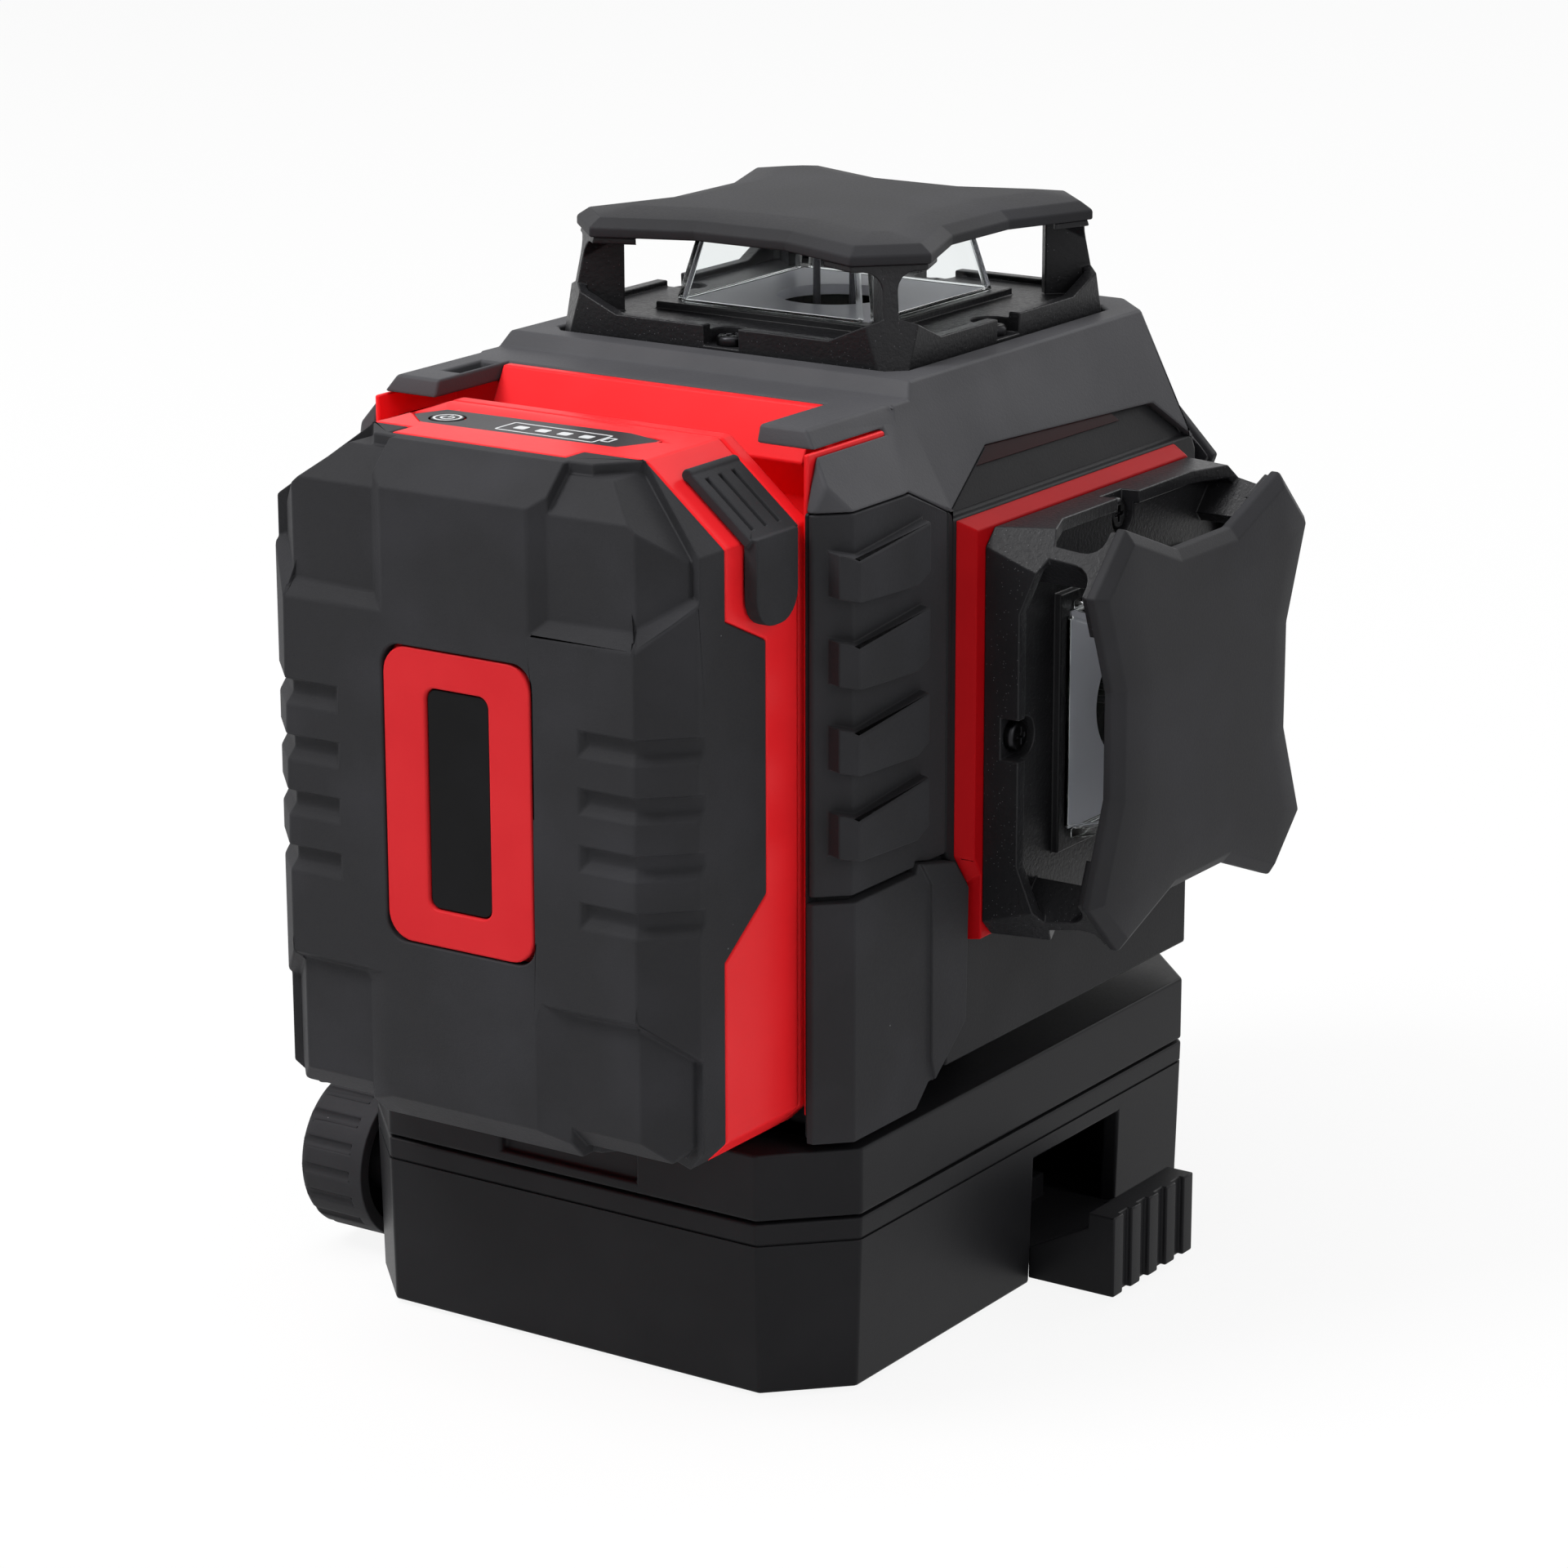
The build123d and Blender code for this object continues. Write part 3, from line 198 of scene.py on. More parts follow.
def merged(node):
    """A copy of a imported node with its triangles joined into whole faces."""
    piece = bpy.data.objects.new(node + "_finished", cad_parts[node].data.copy())
    bpy.context.scene.collection.objects.link(piece)
    only(piece)
    bpy.ops.mesh.customdata_custom_splitnormals_clear()
    bpy.ops.object.mode_set(mode="EDIT")
    bpy.ops.mesh.select_all(action="SELECT")
    bpy.ops.mesh.remove_doubles(threshold=0.002 * MM)
    bpy.ops.mesh.dissolve_limited(angle_limit=radians(0.6))
    bpy.ops.object.mode_set(mode="OBJECT")
    piece.data.materials.clear()
    return piece


def fit(piece, node, body, slot, *materials):
    """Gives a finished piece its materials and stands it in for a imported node."""
    for material in materials:
        piece.data.materials.append(material)
    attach(piece, body)
    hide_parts(node)


def soften(node, body, slot, material, edge):
    """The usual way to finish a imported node: merged, rounded and fitted."""
    piece = merged(node)
    rounded(piece, edge)
    fit(piece, node, body, slot, material)


def dress(node, material):
    """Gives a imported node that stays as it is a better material."""
    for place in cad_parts[node].material_slots:
        place.material = material


def add_flecks(tree, place, colour, share, spacing):
    """Lays small pale points over a colour, in the given share of cells this far apart."""
    fleck_radius = 0.09
    cells = add_node(tree, "TexVoronoi", {"Scale": 1 / (spacing * MM)}, {"Vector": place})
    small = add_node(tree, "Math", {1: fleck_radius}, {0: cells.outputs["Distance"]},
                     operation="LESS_THAN")
    chosen = add_node(tree, "Math", {1: share}, {0: cells.outputs["Color"]}, operation="LESS_THAN")
    both = add_node(tree, "Math", links={0: small.outputs[0], 1: chosen.outputs[0]},
                    operation="MULTIPLY")
    return add_node(tree, "MixRGB", {"Color2": to_linear("#76767a")}, {
        "Fac": both.outputs[0], "Color1": colour,
    }).outputs["Color"]


def moulded(name, colour, speck, roughness, grain, relief, drift=0.06, spread=0.08, shine=0.09,
            flecks=None):
    """A moulded surface: the mould's grain as relief, and slow changes of colour and gloss.

    grain is in millimetres, and several times coarser than life so that it shows.
    flecks is the share of cells with a pale point and the cells' spacing in
    millimetres, which is drawn coarse for the same reason."""
    cloud_width = 14 * MM
    material = bpy.data.materials.new(name)
    material.use_nodes = True
    tree = material.node_tree
    shader = tree.nodes["Principled BSDF"]
    shader.inputs["Specular IOR Level"].default_value = shine
    place = add_node(tree, "TexCoord").outputs["Object"]
    grit = add_node(tree, "TexNoise", {
        "Scale": 1 / (grain * MM), "Detail": 3.0, "Roughness": 0.65,
    }, {"Vector": place})
    cloud = add_node(tree, "TexNoise", {"Scale": 1 / cloud_width, "Detail": 2.0}, {"Vector": place})
    shades = add_node(tree, "ValToRGB", links={"Fac": cloud.outputs["Fac"]})
    shades.color_ramp.elements[0].position = 0.5 - drift
    shades.color_ramp.elements[0].color = to_linear(colour)
    shades.color_ramp.elements[1].position = 0.5 + 4 * drift
    shades.color_ramp.elements[1].color = to_linear(speck)
    gloss = add_node(tree, "MapRange", {
        "To Min": roughness - spread, "To Max": roughness + spread,
    }, {"Value": grit.outputs["Fac"]})
    bump = add_node(tree, "Bump", {"Strength": relief, "Distance": 0.12 * grain * MM}, {
        "Height": grit.outputs["Fac"],
    })
    surface = shades.outputs["Color"]
    if flecks:
        surface = add_flecks(tree, place, surface, *flecks)
    tree.links.new(surface, shader.inputs["Base Color"])
    tree.links.new(gloss.outputs["Result"], shader.inputs["Roughness"])
    tree.links.new(bump.outputs["Normal"], shader.inputs["Normal"])
    return material


def metal(name, colour, roughness, mark, stretch=(1, 1, 1), relief=0.15):
    """A bare or plated metal with the marks of how it was turned, drawn or cast.

    mark is their width in millimetres, drawn coarse enough to show."""
    material = bpy.data.materials.new(name)
    material.use_nodes = True
    tree = material.node_tree
    shader = tree.nodes["Principled BSDF"]
    shader.inputs["Metallic"].default_value = 1.0
    shader.inputs["Base Color"].default_value = to_linear(colour)
    place = add_node(tree, "TexCoord").outputs["Object"]
    turned = add_node(tree, "Mapping", {"Scale": stretch}, {"Vector": place})
    marks = add_node(tree, "TexNoise", {"Scale": 1 / (mark * MM), "Detail": 2.0}, {
        "Vector": turned.outputs["Vector"],
    })
    gloss = add_node(tree, "MapRange", {
        "To Min": roughness * 0.7, "To Max": roughness * 1.3,
    }, {"Value": marks.outputs["Fac"]})
    bump = add_node(tree, "Bump", {"Strength": relief, "Distance": 0.1 * mark * MM}, {
        "Height": marks.outputs["Fac"],
    })
    tree.links.new(gloss.outputs["Result"], shader.inputs["Roughness"])
    tree.links.new(bump.outputs["Normal"], shader.inputs["Normal"])
    return material


# Thermoplastic rubber from a finely eroded mould: dull, with a soft grey bloom and
# a few grains of dust.
moulded_rubber = moulded(
    "moulded_tpe_rubber", "#2d2d2f", "#333336", roughness=0.62, grain=0.45, relief=0.7,
    flecks=(0.1, 1.1),
)
# Black-oxide steel: dark, oily and still a metal at the edges.
black_steel = metal("black_oxide_steel", "#2a2a2c", roughness=0.34, mark=0.6)
# Turned brass: fine rings round the bore.
turned_brass = metal("turned_brass", "#c9a25a", roughness=0.24, mark=0.4)

soften("base_feet", "base", "shell_rubber", moulded_rubber, 0.25 * MM)
soften("base_screws", "base", "black_steel", black_steel, 0.08 * MM)
soften("tripod_insert", "base", "brass", turned_brass, 0.2 * MM)

# ------------------------------------------------------------ base and lip
# The base is a shell and a plate of satin black ABS. A fine groove sets off
# its lip, just below the gap under the turntable.

# Moulded ABS, satin: blacker and smoother than the rubber, with soft reflections.
satin_abs = moulded("satin_moulded_abs", "#1e1e20", "#222224", roughness=0.40, grain=0.3, relief=0.22)
soften("base_plate", "base", "base_plastic", satin_abs, 0.3 * MM)
shell = merged("base_shell")
rounded(shell, 0.4 * MM)
groove_low = 20.55 * MM
groove_high = 20.9 * MM
groove_depth = 0.3 * MM
outer_wall = 30 * MM
for height in (groove_low, groove_high):
    split_faces(shell, (0, 0, height), (0, 0, 1))
bpy.ops.object.mode_set(mode="EDIT")
bpy.ops.mesh.select_all(action="DESELECT")
bpy.ops.mesh.select_mode(type="FACE")
bpy.ops.object.mode_set(mode="OBJECT")
for face in shell.data.polygons:
    in_band = groove_low < face.center.z < groove_high
    face.select = in_band and face.center.xy.dot(face.normal.xy) > outer_wall
bpy.ops.object.mode_set(mode="EDIT")
bpy.ops.mesh.extrude_region_shrink_fatten(TRANSFORM_OT_shrink_fatten={"value": -groove_depth})
bpy.ops.object.mode_set(mode="OBJECT")
smoothed(shell)
fit(shell, "base_shell", "base", "base_plastic", satin_abs)

# --------------------------------------------------------- fine-turning drive
# A steel worm on two acetal bushes turns an acetal wheel. The knob on its
# left-hand end has a ring of axial grooves for the finger.

# Zinc-plated steel: pale, slightly mottled.
plated_steel = metal("zinc_plated_steel", "#a9abb0", roughness=0.30, mark=1.2)
# Spring steel: hard, drawn, with lengthwise marks.
drawn_steel = metal("drawn_spring_steel", "#9a9b9e", roughness=0.26, mark=0.5)
# Acetal: milky and waxy.
acetal = moulded("moulded_acetal", "#d8d6cf", "#dedcd6", roughness=0.34, grain=0.5, relief=0.1)

soften("fine_knob", "knob", "base_plastic", moulded_rubber, 0.22 * MM)
dress("worm_shaft", plated_steel)
dress("worm_bushes", acetal)
dress("worm_wheel", acetal)
dress("clutch_washer", drawn_steel)
soften("spindle_screw", "base", "steel", plated_steel, 0.15 * MM)

# ---------------------------------------------------------- bracket catch
# One moulded slide with a ribbed thumb face, let into the base's right side,
# and a coil spring behind it.

soften("catch_tab", "catch", "base_plastic", satin_abs, 0.25 * MM)
dress("catch_spring", drawn_steel)

# -------------------------------------------------------------- turntable
# A satin black tray that turns on the base and carries the body. Four screws
# hold the two together.

soften("turntable", "head", "base_plastic", satin_abs, 0.45 * MM)
soften("turntable_screws", "head", "steel", plated_steel, 0.1 * MM)

# -------------------------------------------------- housing and rubber pads
# Two moulded halves: the darker housing and the hood over it, painted greyer for the light the hood
# catches. Soft pads wrap the front corners, ribbed above and plain below.

# Polycarbonate blend from an eroded mould: dark grey, even, a little glossier than rubber.
housing_plastic = moulded(
    "eroded_polycarbonate", "#1f1f21", "#242426", roughness=0.50, grain=0.4, relief=0.4,
)
# The same blend painted lighter on the hood, as painted light for the light it catches: mid grey, with
# a few pale grains of dust.
hood_plastic = moulded(
    "hood_plastic_painted_lighter", "#48484b", "#4e4e51", roughness=0.50, grain=0.4, relief=0.6,
    flecks=(0.06, 1.1),
)
# Red ABS straight from a polished mould: clean, saturated, softly glossy.
red_abs = moulded(
    "polished_red_abs", "#f2242a", "#f5292f", roughness=0.34, grain=0.9, relief=0.06,
    spread=0.03, shine=0.1,
)
# The bezels' red: the same ABS darkened as painted shade for the recess between the housing and the
# heads, and drier.
painted_shade_red_abs = moulded(
    "painted_shade_red_abs", "#a80b12", "#ae0e14", roughness=0.40, grain=0.9, relief=0.06,
    spread=0.03, shine=0.04,
)

soften("housing", "head", "hood_plastic", housing_plastic, 0.4 * MM)
# The hood takes the housing's plastic painted lighter for the light it catches.
soften("hood", "head", "hood_plastic", hood_plastic, 0.45 * MM)
# The grips' ribs, where they stand off the housing's side and its cut corner,
# are drawn out a little.
housing_low, housing_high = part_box("housing")
front_corner = 3.5 * MM
rib_stand = 0.5 * MM
rib_draw = 1.022
for side in ("right", "left"):
    grip = merged("grip_" + side)
    for point in grip.data.vertices:
        past_side = abs(point.co.x) - housing_high.x
        past_corner = (past_side - point.co.y + housing_low.y + front_corner) * cos(radians(45))
        if max(past_side, past_corner) > rib_stand:
            point.co.xy *= rib_draw
    rounded(grip, 0.25 * MM)
    fit(grip, "grip_" + side, "head", "shell_rubber", moulded_rubber)
    soften("boot_" + side, "head", "shell_rubber", moulded_rubber, 0.22 * MM)
soften("bay_liner", "head", "red_plastic", red_abs, 0.3 * MM)
# The bezels take the red that is darkened as painted shade.
soften("side_bezel", "head", "red_plastic", painted_shade_red_abs, 0.25 * MM)
soften("rear_bezel", "head", "red_plastic", painted_shade_red_abs, 0.25 * MM)

# ----------------------------------------------------------- remote window
# A strip of dark red polycarbonate let into the hollow above the side head. It
# passes the infrared of a receiver behind it.

recess_foot = Vector((36.9, 0, 109.52)) * MM
recess_lean = 7 / 16
strip_corners = ((-12.0, 113.9), (26.5, 113.5), (24.8, 114.85), (-7.4, 115.9))
bpy.ops.mesh.primitive_plane_add(size=1.0)
strip = bpy.context.active_object
strip.name = "remote_window"
for point, index in zip(strip.data.vertices, (0, 1, 3, 2)):
    along, height = (value * MM for value in strip_corners[index])
    point.co = (recess_foot.x - (height - recess_foot.z) * recess_lean, along, height)
only(strip)
bpy.ops.object.mode_set(mode="EDIT")
bpy.ops.mesh.select_all(action="SELECT")
bpy.ops.mesh.normals_make_consistent(inside=False)
bpy.ops.object.mode_set(mode="OBJECT")
if strip.data.polygons[0].normal.x < 0:
    bpy.ops.object.mode_set(mode="EDIT")
    bpy.ops.mesh.flip_normals()
    bpy.ops.object.mode_set(mode="OBJECT")
strip_depth = strip.modifiers.new("strip_thickness", "SOLIDIFY")
strip_depth.thickness = 0.3 * MM
strip_depth.offset = 1.0
bpy.ops.object.modifier_apply(modifier=strip_depth.name)
rounded(strip, 0.08 * MM)
# Polycarbonate dyed to stop visible light: nearly black, red where it is lit.
dyed_window = moulded(
    "dyed_polycarbonate_window", "#26060a", "#2e080c", roughness=0.22, grain=2.0, relief=0.02,
    spread=0.02, shine=0.08,
)
strip.data.materials.append(dyed_window)
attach(strip, "head")

# ------------------------------------------------------------ laser heads
# Each head is a moulded frame of coarse black plastic under a finely grained
# cap, with four leaning glass plates over a pale grey floor.

# Glass-filled nylon from a coarsely eroded mould: black with a bright speckle.
coarse_nylon = moulded(
    "coarse_glass_filled_nylon", "#202022", "#262628", roughness=0.36, grain=0.6, relief=1.0,
    spread=0.16, shine=0.14, flecks=(0.45, 0.5),
)
# Finely grained cap plastic: even dark grey, no shine.
cap_plastic = moulded(
    "fine_grain_cap_plastic", "#2c2c2e", "#303033", roughness=0.56, grain=0.35, relief=0.5,
)
# Pale grey ABS with a satin face: it lights the glass from below.
floor_plastic = moulded(
    "pale_grey_floor_abs", "#c4c4cc", "#c8c8d0", roughness=0.34, grain=1.5, relief=0.0,
    spread=0.02, shine=0.04,
)


def glass(name, tint, roughness, index):
    """Plate glass: coated faces hardly reflect, and ground edges catch the light.

    A low index of refraction stands in for the coating."""
    haze_width = 2 * MM
    material = bpy.data.materials.new(name)
    material.use_nodes = True
    tree = material.node_tree
    shader = tree.nodes["Principled BSDF"]
    shader.inputs["Base Color"].default_value = to_linear(tint)
    shader.inputs["Transmission Weight"].default_value = 1.0
    shader.inputs["IOR"].default_value = index
    place = add_node(tree, "TexCoord").outputs["Object"]
    haze = add_node(tree, "TexNoise", {"Scale": 1 / haze_width, "Detail": 3.0}, {"Vector": place})
    gloss = add_node(tree, "MapRange", {
        "To Min": roughness, "To Max": roughness + 0.03,
    }, {"Value": haze.outputs["Fac"]})
    tree.links.new(gloss.outputs["Result"], shader.inputs["Roughness"])
    return material


plate_glass = glass("coated_plate_glass", "#f7f9f9", roughness=0.0, index=1.1)
ground_glass = glass("ground_glass_edge", "#eef3f4", roughness=0.2, index=1.5)

soften("head_floors", "head", "black_gloss", floor_plastic, 0.1 * MM)
soften("head_screws", "head", "black_steel", black_steel, 0.08 * MM)

# A cap is one moulding: a thin rim with a horn at each corner and a shallow
# valley in each side, under two bevelled steps and a flat crown.
cap_low, cap_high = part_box("top_head_cap")
side_low, side_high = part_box("side_head_cap")
rear_low, rear_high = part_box("rear_head_cap")
cap_seats = {
    "top": ((0, (cap_low.y + cap_high.y) / 2, cap_low.z), (0, 0, 0)),
    "side": ((side_low.x, (side_low.y + side_high.y) / 2, (side_low.z + side_high.z) / 2),
             (0, radians(90), 0)),
    "rear": ((0, rear_low.y, (rear_low.z + rear_high.z) / 2), (radians(-90), 0, 0)),
}
cap_half = (cap_high.x - cap_low.x) / 2
cap_valley = cap_half - 5.0 * MM
cap_horn = cap_half - 7.5 * MM
valley_half = 7.0 * MM
rim_thick = 1.25 * MM
step_heights = (1.15 * MM, 0.9 * MM)
step_insets = (1.5 * MM, 5.0 * MM)


def pick_edges(piece, wanted):
    """Selects the edges whose two ends pass a test, ready for edit mode."""
    only(piece)
    bpy.ops.object.mode_set(mode="EDIT")
    bpy.ops.mesh.select_mode(type="EDGE")
    bpy.ops.mesh.select_all(action="DESELECT")
    bpy.ops.object.mode_set(mode="OBJECT")
    points = piece.data.vertices
    for line in piece.data.edges:
        line.select = wanted(*(points[end].co for end in line.vertices))


def round_corners(piece, wanted, radius, steps):
    """Turns the picked edges into round corners of a real radius."""
    pick_edges(piece, wanted)
    bpy.ops.object.mode_set(mode="EDIT")
    bpy.ops.mesh.bevel(offset=radius, segments=steps, clamp_overlap=False)
    bpy.ops.object.mode_set(mode="OBJECT")


# A frame's posts stand on its diagonals and flare into the seat under its cap.
# The seat keeps just inside the cap's outline.
seat_thick = 0.9 * MM
seat_inset = 0.5 * MM
near_line = 0.1 * MM
post_band = 2 * MM
shortest_seam = 2 * MM
post_flare = 2.4 * MM


def fills_seat(towards_cap):
    """A test for the edges where a post meets the underside of its cap's seat."""
    def wanted(start, end):
        start, end = towards_cap @ start, towards_cap @ end
        level = abs(start.z + seat_thick) < near_line and abs(end.z + seat_thick) < near_line
        on_post = all(abs(abs(spot.x) - abs(spot.y)) < post_band for spot in (start, end))
        return level and on_post and abs(end.x - start.x) > shortest_seam
    return wanted


for head, (seat, turn) in cap_seats.items():
    head_frame = merged(head + "_head_frame")
    from_cap = Matrix.LocRotScale(Vector(seat), Euler(turn), None)
    towards_cap = from_cap.inverted()
    for point in head_frame.data.vertices:
        spot = towards_cap @ point.co
        outward = 0 if abs(spot.x) > abs(spot.y) else 1
        along = abs(spot[1 - outward])
        slant = (cap_half - cap_valley) / (cap_horn - valley_half)
        reach = cap_valley + (along - valley_half) * slant - seat_inset
        if spot.z > -seat_thick - near_line and along < cap_horn and abs(spot[outward]) > reach:
            spot[outward] = copysign(reach, spot[outward])
            point.co = from_cap @ spot
    round_corners(head_frame, fills_seat(towards_cap), post_flare, 4)
    rounded(head_frame, 0.22 * MM)
    fit(head_frame, head + "_head_frame", "head", "black_gloss", coarse_nylon)

bpy.ops.mesh.primitive_circle_add(vertices=16, radius=cap_half, fill_type="NGON")
cap = bpy.context.active_object
corner_points = ((cap_half, -cap_horn), (cap_valley, -valley_half), (cap_valley, valley_half),
                 (cap_half, cap_horn))
for index, point in enumerate(cap.data.vertices):
    quarter = index // 4
    x, y = corner_points[index % 4]
    turn = radians(90 * quarter)
    point.co = (x * cos(turn) - y * sin(turn), x * sin(turn) + y * cos(turn), 0)
only(cap)
bpy.ops.object.mode_set(mode="EDIT")
bpy.ops.mesh.select_all(action="SELECT")
bpy.ops.mesh.normals_make_consistent(inside=False)
bpy.ops.mesh.extrude_region_move(TRANSFORM_OT_translate={"value": (0, 0, rim_thick)})
for inset, rise in zip(step_insets, step_heights):
    bpy.ops.mesh.inset(thickness=inset, use_even_offset=True)
    bpy.ops.transform.translate(value=(0, 0, rise))
bpy.ops.mesh.select_all(action="SELECT")
bpy.ops.mesh.normals_make_consistent(inside=False)
bpy.ops.object.mode_set(mode="OBJECT")
rounded(cap, 0.25 * MM, crease=12)

for head, (seat, turn) in cap_seats.items():
    only(cap)
    bpy.ops.object.duplicate()
    head_cap = bpy.context.active_object
    head_cap.name = head + "_cap_moulding"
    head_cap.location = seat
    head_cap.rotation_euler = turn
    bpy.ops.object.transform_apply(location=True, rotation=True, scale=True)
    fit(head_cap, head + "_head_cap", "head", "hood_plastic", cap_plastic)
bpy.data.objects.remove(cap)

# The plates' wide faces are coated. Their narrow edges are ground.
panes = merged("head_glass")
rounded(panes, 0.2 * MM, steps=1)
edge_face_area = 100 * MM * MM
for face in panes.data.polygons:
    face.material_index = 1 if face.area < edge_face_area else 0
fit(panes, "head_glass", "head", "window_glass", plate_glass, ground_glass)

# --------------------------------------------------------- levelling unit
# A zinc pendulum hangs in a gimbal and carries three laser modules, each
# aimed at a small silvered cone.

# Machined aluminium: pale, with fine tool marks.
machined_aluminium = metal("machined_aluminium", "#c3c5c9", roughness=0.28, mark=0.5, stretch=(1, 1, 6))
# Die-cast zinc: grey, cloudy, a little rough.
cast_zinc = metal("die_cast_zinc", "#77797d", roughness=0.44, mark=0.9, relief=0.3)
# Black-anodised aluminium: dark grey, satin.
black_anodised = metal("black_anodised_aluminium", "#46464b", roughness=0.4, mark=0.5)
# Silvered glass: a clean mirror.
silvered_glass = metal("silvered_cone", "#e6e7ea", roughness=0.03, mark=3.0, relief=0.0)

for node in ("gimbal_yoke", "gimbal_ring"):
    dress(node, machined_aluminium)
for node in ("pendulum", "pendulum_weight"):
    dress(node, cast_zinc)
dress("damping_disc", machined_aluminium)
dress("laser_modules", black_anodised)
dress("cone_mirrors", silvered_glass)
dress("damping_magnets", plated_steel)

# ------------------------------------------------------- keys and lock
# Three moulded mode keys on the left side, and the slider whose wedge lifts the
# lock pad.

# Solder mask over copper: deep green, glossy.
solder_mask = moulded(
    "solder_masked_board", "#0f4a2a", "#13532f", roughness=0.28, grain=0.6, relief=0.1,
)
for number in (1, 2, 3):
    soften("mode_key_%d" % number, "key_%d" % number, "shell_rubber", moulded_rubber, 0.25 * MM)
soften("lock_slider", "lock_slider", "base_plastic", satin_abs, 0.2 * MM)
dress("lock_pad", moulded_rubber)
dress("main_board", solder_mask)
dress("contact_pins", turned_brass)

# ------------------------------------------------------------ battery pack
# A red case and back under a thick rubber cover, with a framed plate on its
# front, a gauge on top and a rubber flap over the charging inlet.

# Label frame: the same red, moulded duller.
dull_red = moulded("dull_red_abs", "#cb2329", "#d0282d", roughness=0.46, grain=0.4, relief=0.2)
# Label plate: polished black, left bare.
polished_black = moulded(
    "polished_black_abs", "#101011", "#141416", roughness=0.16, grain=1.2, relief=0.03,
    spread=0.03,
)
# Gauge overlay: satin film.
satin_film = moulded(
    "satin_gauge_film", "#28282b", "#2c2c2f", roughness=0.34, grain=0.5, relief=0.05,
    spread=0.03,
)
# Shrink wrap on the cells.
shrink_wrap = moulded("blue_shrink_wrap", "#2b5f9a", "#2f66a4", roughness=0.30, grain=2.0, relief=0.1)


def cut(piece, cutter):
    """Takes one closed mesh away from another, and deletes it."""
    only(piece)
    knife = piece.modifiers.new("cut", "BOOLEAN")
    knife.operation = "DIFFERENCE"
    knife.solver = "EXACT"
    knife.object = cutter
    bpy.ops.object.modifier_apply(modifier=knife.name)
    bpy.data.objects.remove(cutter)


# Round the gauge the cover's back edge steps forward, and its front is open for the
# label. Its faces are split in line with both, so that each part is a plain one.
notch_sides = (-15.0 * MM, 11.5 * MM)
ring_low, ring_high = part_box("label_frame")
ring_middle = (ring_low + ring_high) / 2

# The red slope above the gauge: the case falls away to the overlay's back edge.
case_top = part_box("battery_case")[1].z
overlay_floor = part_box("gauge_overlay")[0].z
above_case = 0.1 * MM
case = merged("battery_case")
bpy.ops.mesh.primitive_cube_add(size=1.0)
slope = bpy.context.active_object
slope_foot = ((-18.6, -52.0), (-18.0, -48.9), (16.0, -51.0), (9.6, -47.9))
slope_head = ((-20.6, -53.6), (-20.4, -46.0), (17.0, -51.0), (15.0, -46.6))
for point, index in zip(slope.data.vertices, (0, 0, 1, 1, 2, 2, 3, 3)):
    upper = point.co.z > 0
    x, y = slope_head[index] if upper else slope_foot[index]
    point.co = (x * MM, y * MM, case_top + above_case if upper else overlay_floor)
cut(case, slope)
rounded(case, 0.4 * MM)
fit(case, "battery_case", "battery", "red_plastic", red_abs)
soften("battery_back", "battery", "red_plastic", red_abs, 0.4 * MM)
cover = merged("battery_cover")
for side in notch_sides:
    split_faces(cover, (side, 0, 0), (1, 0, 0))
split_faces(cover, ring_middle, (1, 0, 0))
split_faces(cover, ring_middle, (0, 0, 1))
rounded(cover, 0.3 * MM)
fit(cover, "battery_cover", "battery", "shell_rubber", moulded_rubber)


def runs_along(axis, least):
    """A test for edges that run along one axis for at least this far."""
    return lambda start, end: abs(end[axis] - start[axis]) > least


def front_slab(name, middle, width, height, corner, thick):
    """An upright slab with round corners that faces the front."""
    bpy.ops.mesh.primitive_plane_add(size=1.0, rotation=(radians(90), 0, 0))
    slab = bpy.context.active_object
    slab.name = name
    slab.location = middle
    slab.scale = (width, height, 1)
    bpy.ops.object.transform_apply(location=True, rotation=True, scale=True)
    bpy.ops.object.mode_set(mode="EDIT")
    bpy.ops.mesh.select_all(action="SELECT")
    bpy.ops.mesh.bevel(offset=corner, segments=8, affect="VERTICES")
    bpy.ops.object.mode_set(mode="OBJECT")
    depth = slab.modifiers.new("slab_thickness", "SOLIDIFY")
    depth.thickness = thick
    depth.offset = 0
    bpy.ops.object.modifier_apply(modifier=depth.name)
    return slab


ring_size = ring_high - ring_low
ring_corner = 3.6 * MM
label_ring = front_slab("label_ring", ring_middle, ring_size.x, ring_size.z, ring_corner, ring_size.y)
plate_low, plate_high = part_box("label_plate")
plate_gap = 0.15 * MM
room_corner = 1.45 * MM
plate_corner = 1.3 * MM
through_plate = 0.5 * MM
plate_room = front_slab(
    "plate_room", (plate_low + plate_high) / 2, plate_high.x - plate_low.x + 2 * plate_gap,
    plate_high.z - plate_low.z + 2 * plate_gap, room_corner, 2 * ring_size.y,
)
cut(label_ring, plate_room)
split_faces(label_ring, ring_middle, (1, 0, 0))
split_faces(label_ring, ring_middle, (0, 0, 1))
rounded(label_ring, 0.35 * MM)
fit(label_ring, "label_frame", "battery", "red_plastic", dull_red)
plate = merged("label_plate")
round_corners(plate, runs_along(1, through_plate), plate_corner, 5)
rounded(plate, 0.15 * MM)
fit(plate, "label_plate", "battery", "black_gloss", polished_black)
soften("gauge_overlay", "battery", "black_gloss", satin_film, 0.06 * MM)
soften("gauge_key", "gauge_key", "black_gloss", satin_film, 0.1 * MM)

# The flap over the charging inlet: three slots run down its slope, and its
# pull tongue has a round end.
flap = merged("usb_flap")
tongue_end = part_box("usb_flap")[0].z + 1.0 * MM
tongue_radius = 3.8 * MM
shortest_edge = 1.0 * MM


def at_tongue_end(start, end):
    """A test for the edges through the tongue's thickness, at its lower end."""
    return max(start.z, end.z) < tongue_end and abs(end.x - start.x) > shortest_edge


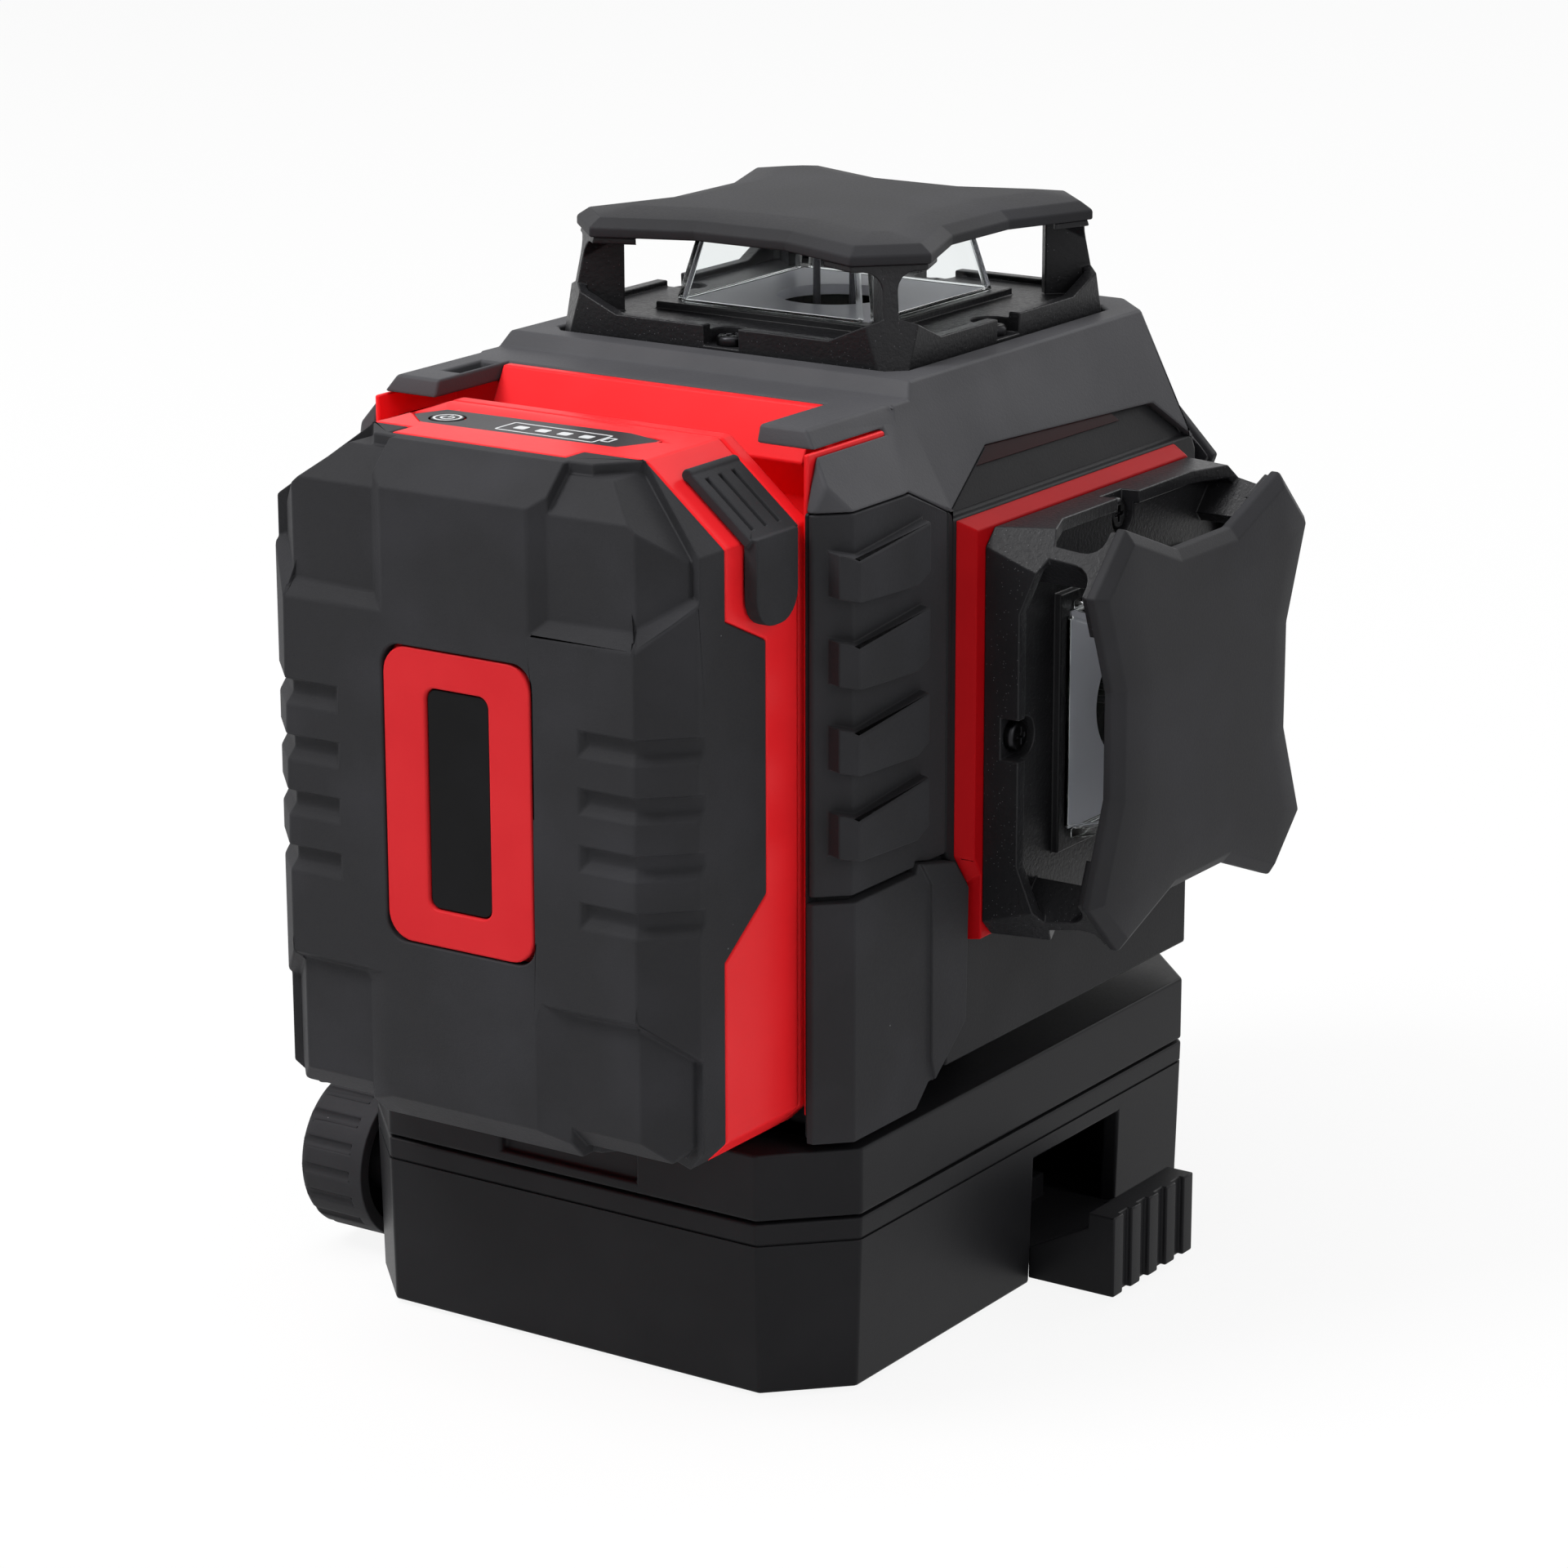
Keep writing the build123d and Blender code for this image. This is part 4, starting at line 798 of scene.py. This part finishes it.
round_corners(flap, at_tongue_end, tongue_radius, 6)
slope_angle = radians(39.56)
slot_middle = (29.3 * MM, 117.2 * MM)
slot_length = 8.6 * MM
slot_width = 0.7 * MM
slot_reach = 1.4 * MM
slot_places = (-55.6, -52.8, -50.0)
for along in slot_places:
    bpy.ops.mesh.primitive_cube_add(
        size=1.0, location=(slot_middle[0], along * MM, slot_middle[1]), rotation=(0, slope_angle, 0),
        scale=(slot_length, slot_width, slot_reach),
    )
    cut(flap, bpy.context.active_object)
rounded(flap, 0.2 * MM)
fit(flap, "usb_flap", "usb_flap", "shell_rubber", moulded_rubber)

# Pad printing on the overlay: a power symbol on the key, and a battery outline
# with four cells. Pale grey ink, a few hundredths of a millimetre proud.
pad_ink = moulded("pad_printed_grey_ink", "#d6d8da", "#dcdee0", roughness=0.5, grain=0.5, relief=0.05)
line_width = 0.3 * MM
ink_thick = 0.03 * MM


def inked(piece, body):
    """Gives flat printing its thickness and its ink, and its place on a body."""
    only(piece)
    bpy.ops.object.transform_apply(location=True, rotation=True, scale=True)
    ink = piece.modifiers.new("ink_thickness", "SOLIDIFY")
    ink.thickness = ink_thick
    ink.offset = 1.0
    bpy.ops.object.modifier_apply(modifier=ink.name)
    piece.data.materials.append(pad_ink)
    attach(piece, body)


def printed_ring(name, centre, radius, width, body, gap=0.0):
    """A printed circle, open towards +Y for the gap given in degrees each side."""
    bpy.ops.mesh.primitive_circle_add(vertices=64, radius=radius, location=centre, fill_type="NGON")
    ring = bpy.context.active_object
    ring.name = name
    bpy.ops.object.mode_set(mode="EDIT")
    bpy.ops.mesh.select_all(action="SELECT")
    bpy.ops.mesh.inset(thickness=width)
    bpy.ops.mesh.delete(type="FACE")
    bpy.ops.object.mode_set(mode="OBJECT")
    if gap:
        for face in ring.data.polygons:
            face.select = face.center.y > face.center.length * cos(radians(gap))
        bpy.ops.object.mode_set(mode="EDIT")
        bpy.ops.mesh.select_mode(type="FACE")
        bpy.ops.mesh.delete(type="FACE")
        bpy.ops.object.mode_set(mode="OBJECT")
    inked(ring, body)


def printed_bar(name, centre, size, body, outline=False, corner=0.15):
    """A printed rectangle with clipped corners, solid or as an outline."""
    bpy.ops.mesh.primitive_plane_add(size=1.0, location=centre)
    bar = bpy.context.active_object
    bar.name = name
    bar.scale = (size[0], size[1], 1)
    bpy.ops.object.transform_apply(location=False, rotation=False, scale=True)
    bpy.ops.object.mode_set(mode="EDIT")
    bpy.ops.mesh.select_all(action="SELECT")
    bpy.ops.mesh.bevel(offset=corner * MM, segments=2, affect="VERTICES")
    if outline:
        bpy.ops.mesh.select_all(action="SELECT")
        bpy.ops.mesh.inset(thickness=line_width)
        bpy.ops.mesh.delete(type="FACE")
    bpy.ops.object.mode_set(mode="OBJECT")
    inked(bar, body)


key_low, key_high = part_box("gauge_key")
key_middle = ((key_low.x + key_high.x) / 2, (key_low.y + key_high.y) / 2, key_high.z)
printed_ring("power_circle", key_middle, 1.85 * MM, line_width, "gauge_key")
printed_ring("power_arc", key_middle, 0.95 * MM, line_width, "gauge_key", gap=38)
printed_bar("power_stroke", (key_middle[0], key_middle[1] + 0.7 * MM, key_middle[2]),
            (line_width, 1.1 * MM), "gauge_key", corner=0.05)
film_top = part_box("gauge_overlay")[1].z
gauge_middle = Vector((1.4 * MM, -53.0 * MM, film_top))
printed_bar("gauge_outline", gauge_middle, (15.0 * MM, 4.6 * MM), "battery", outline=True, corner=0.4)
printed_bar("gauge_terminal", gauge_middle + Vector((8.3, 0, 0)) * MM, (1.4 * MM, 2.2 * MM),
            "battery", outline=True, corner=0.3)
first_cell = -4.9
cell_pitch = 3.3
for number in range(4):
    middle = gauge_middle + Vector((first_cell + cell_pitch * number, 0, 0)) * MM
    printed_bar("gauge_cell_%d" % (number + 1), middle, (1.7 * MM, 1.6 * MM), "battery", corner=0.25)
dress("usb_port", plated_steel)
dress("battery_contacts", turned_brass)
dress("battery_cells", shrink_wrap)
dress("battery_board", solder_mask)
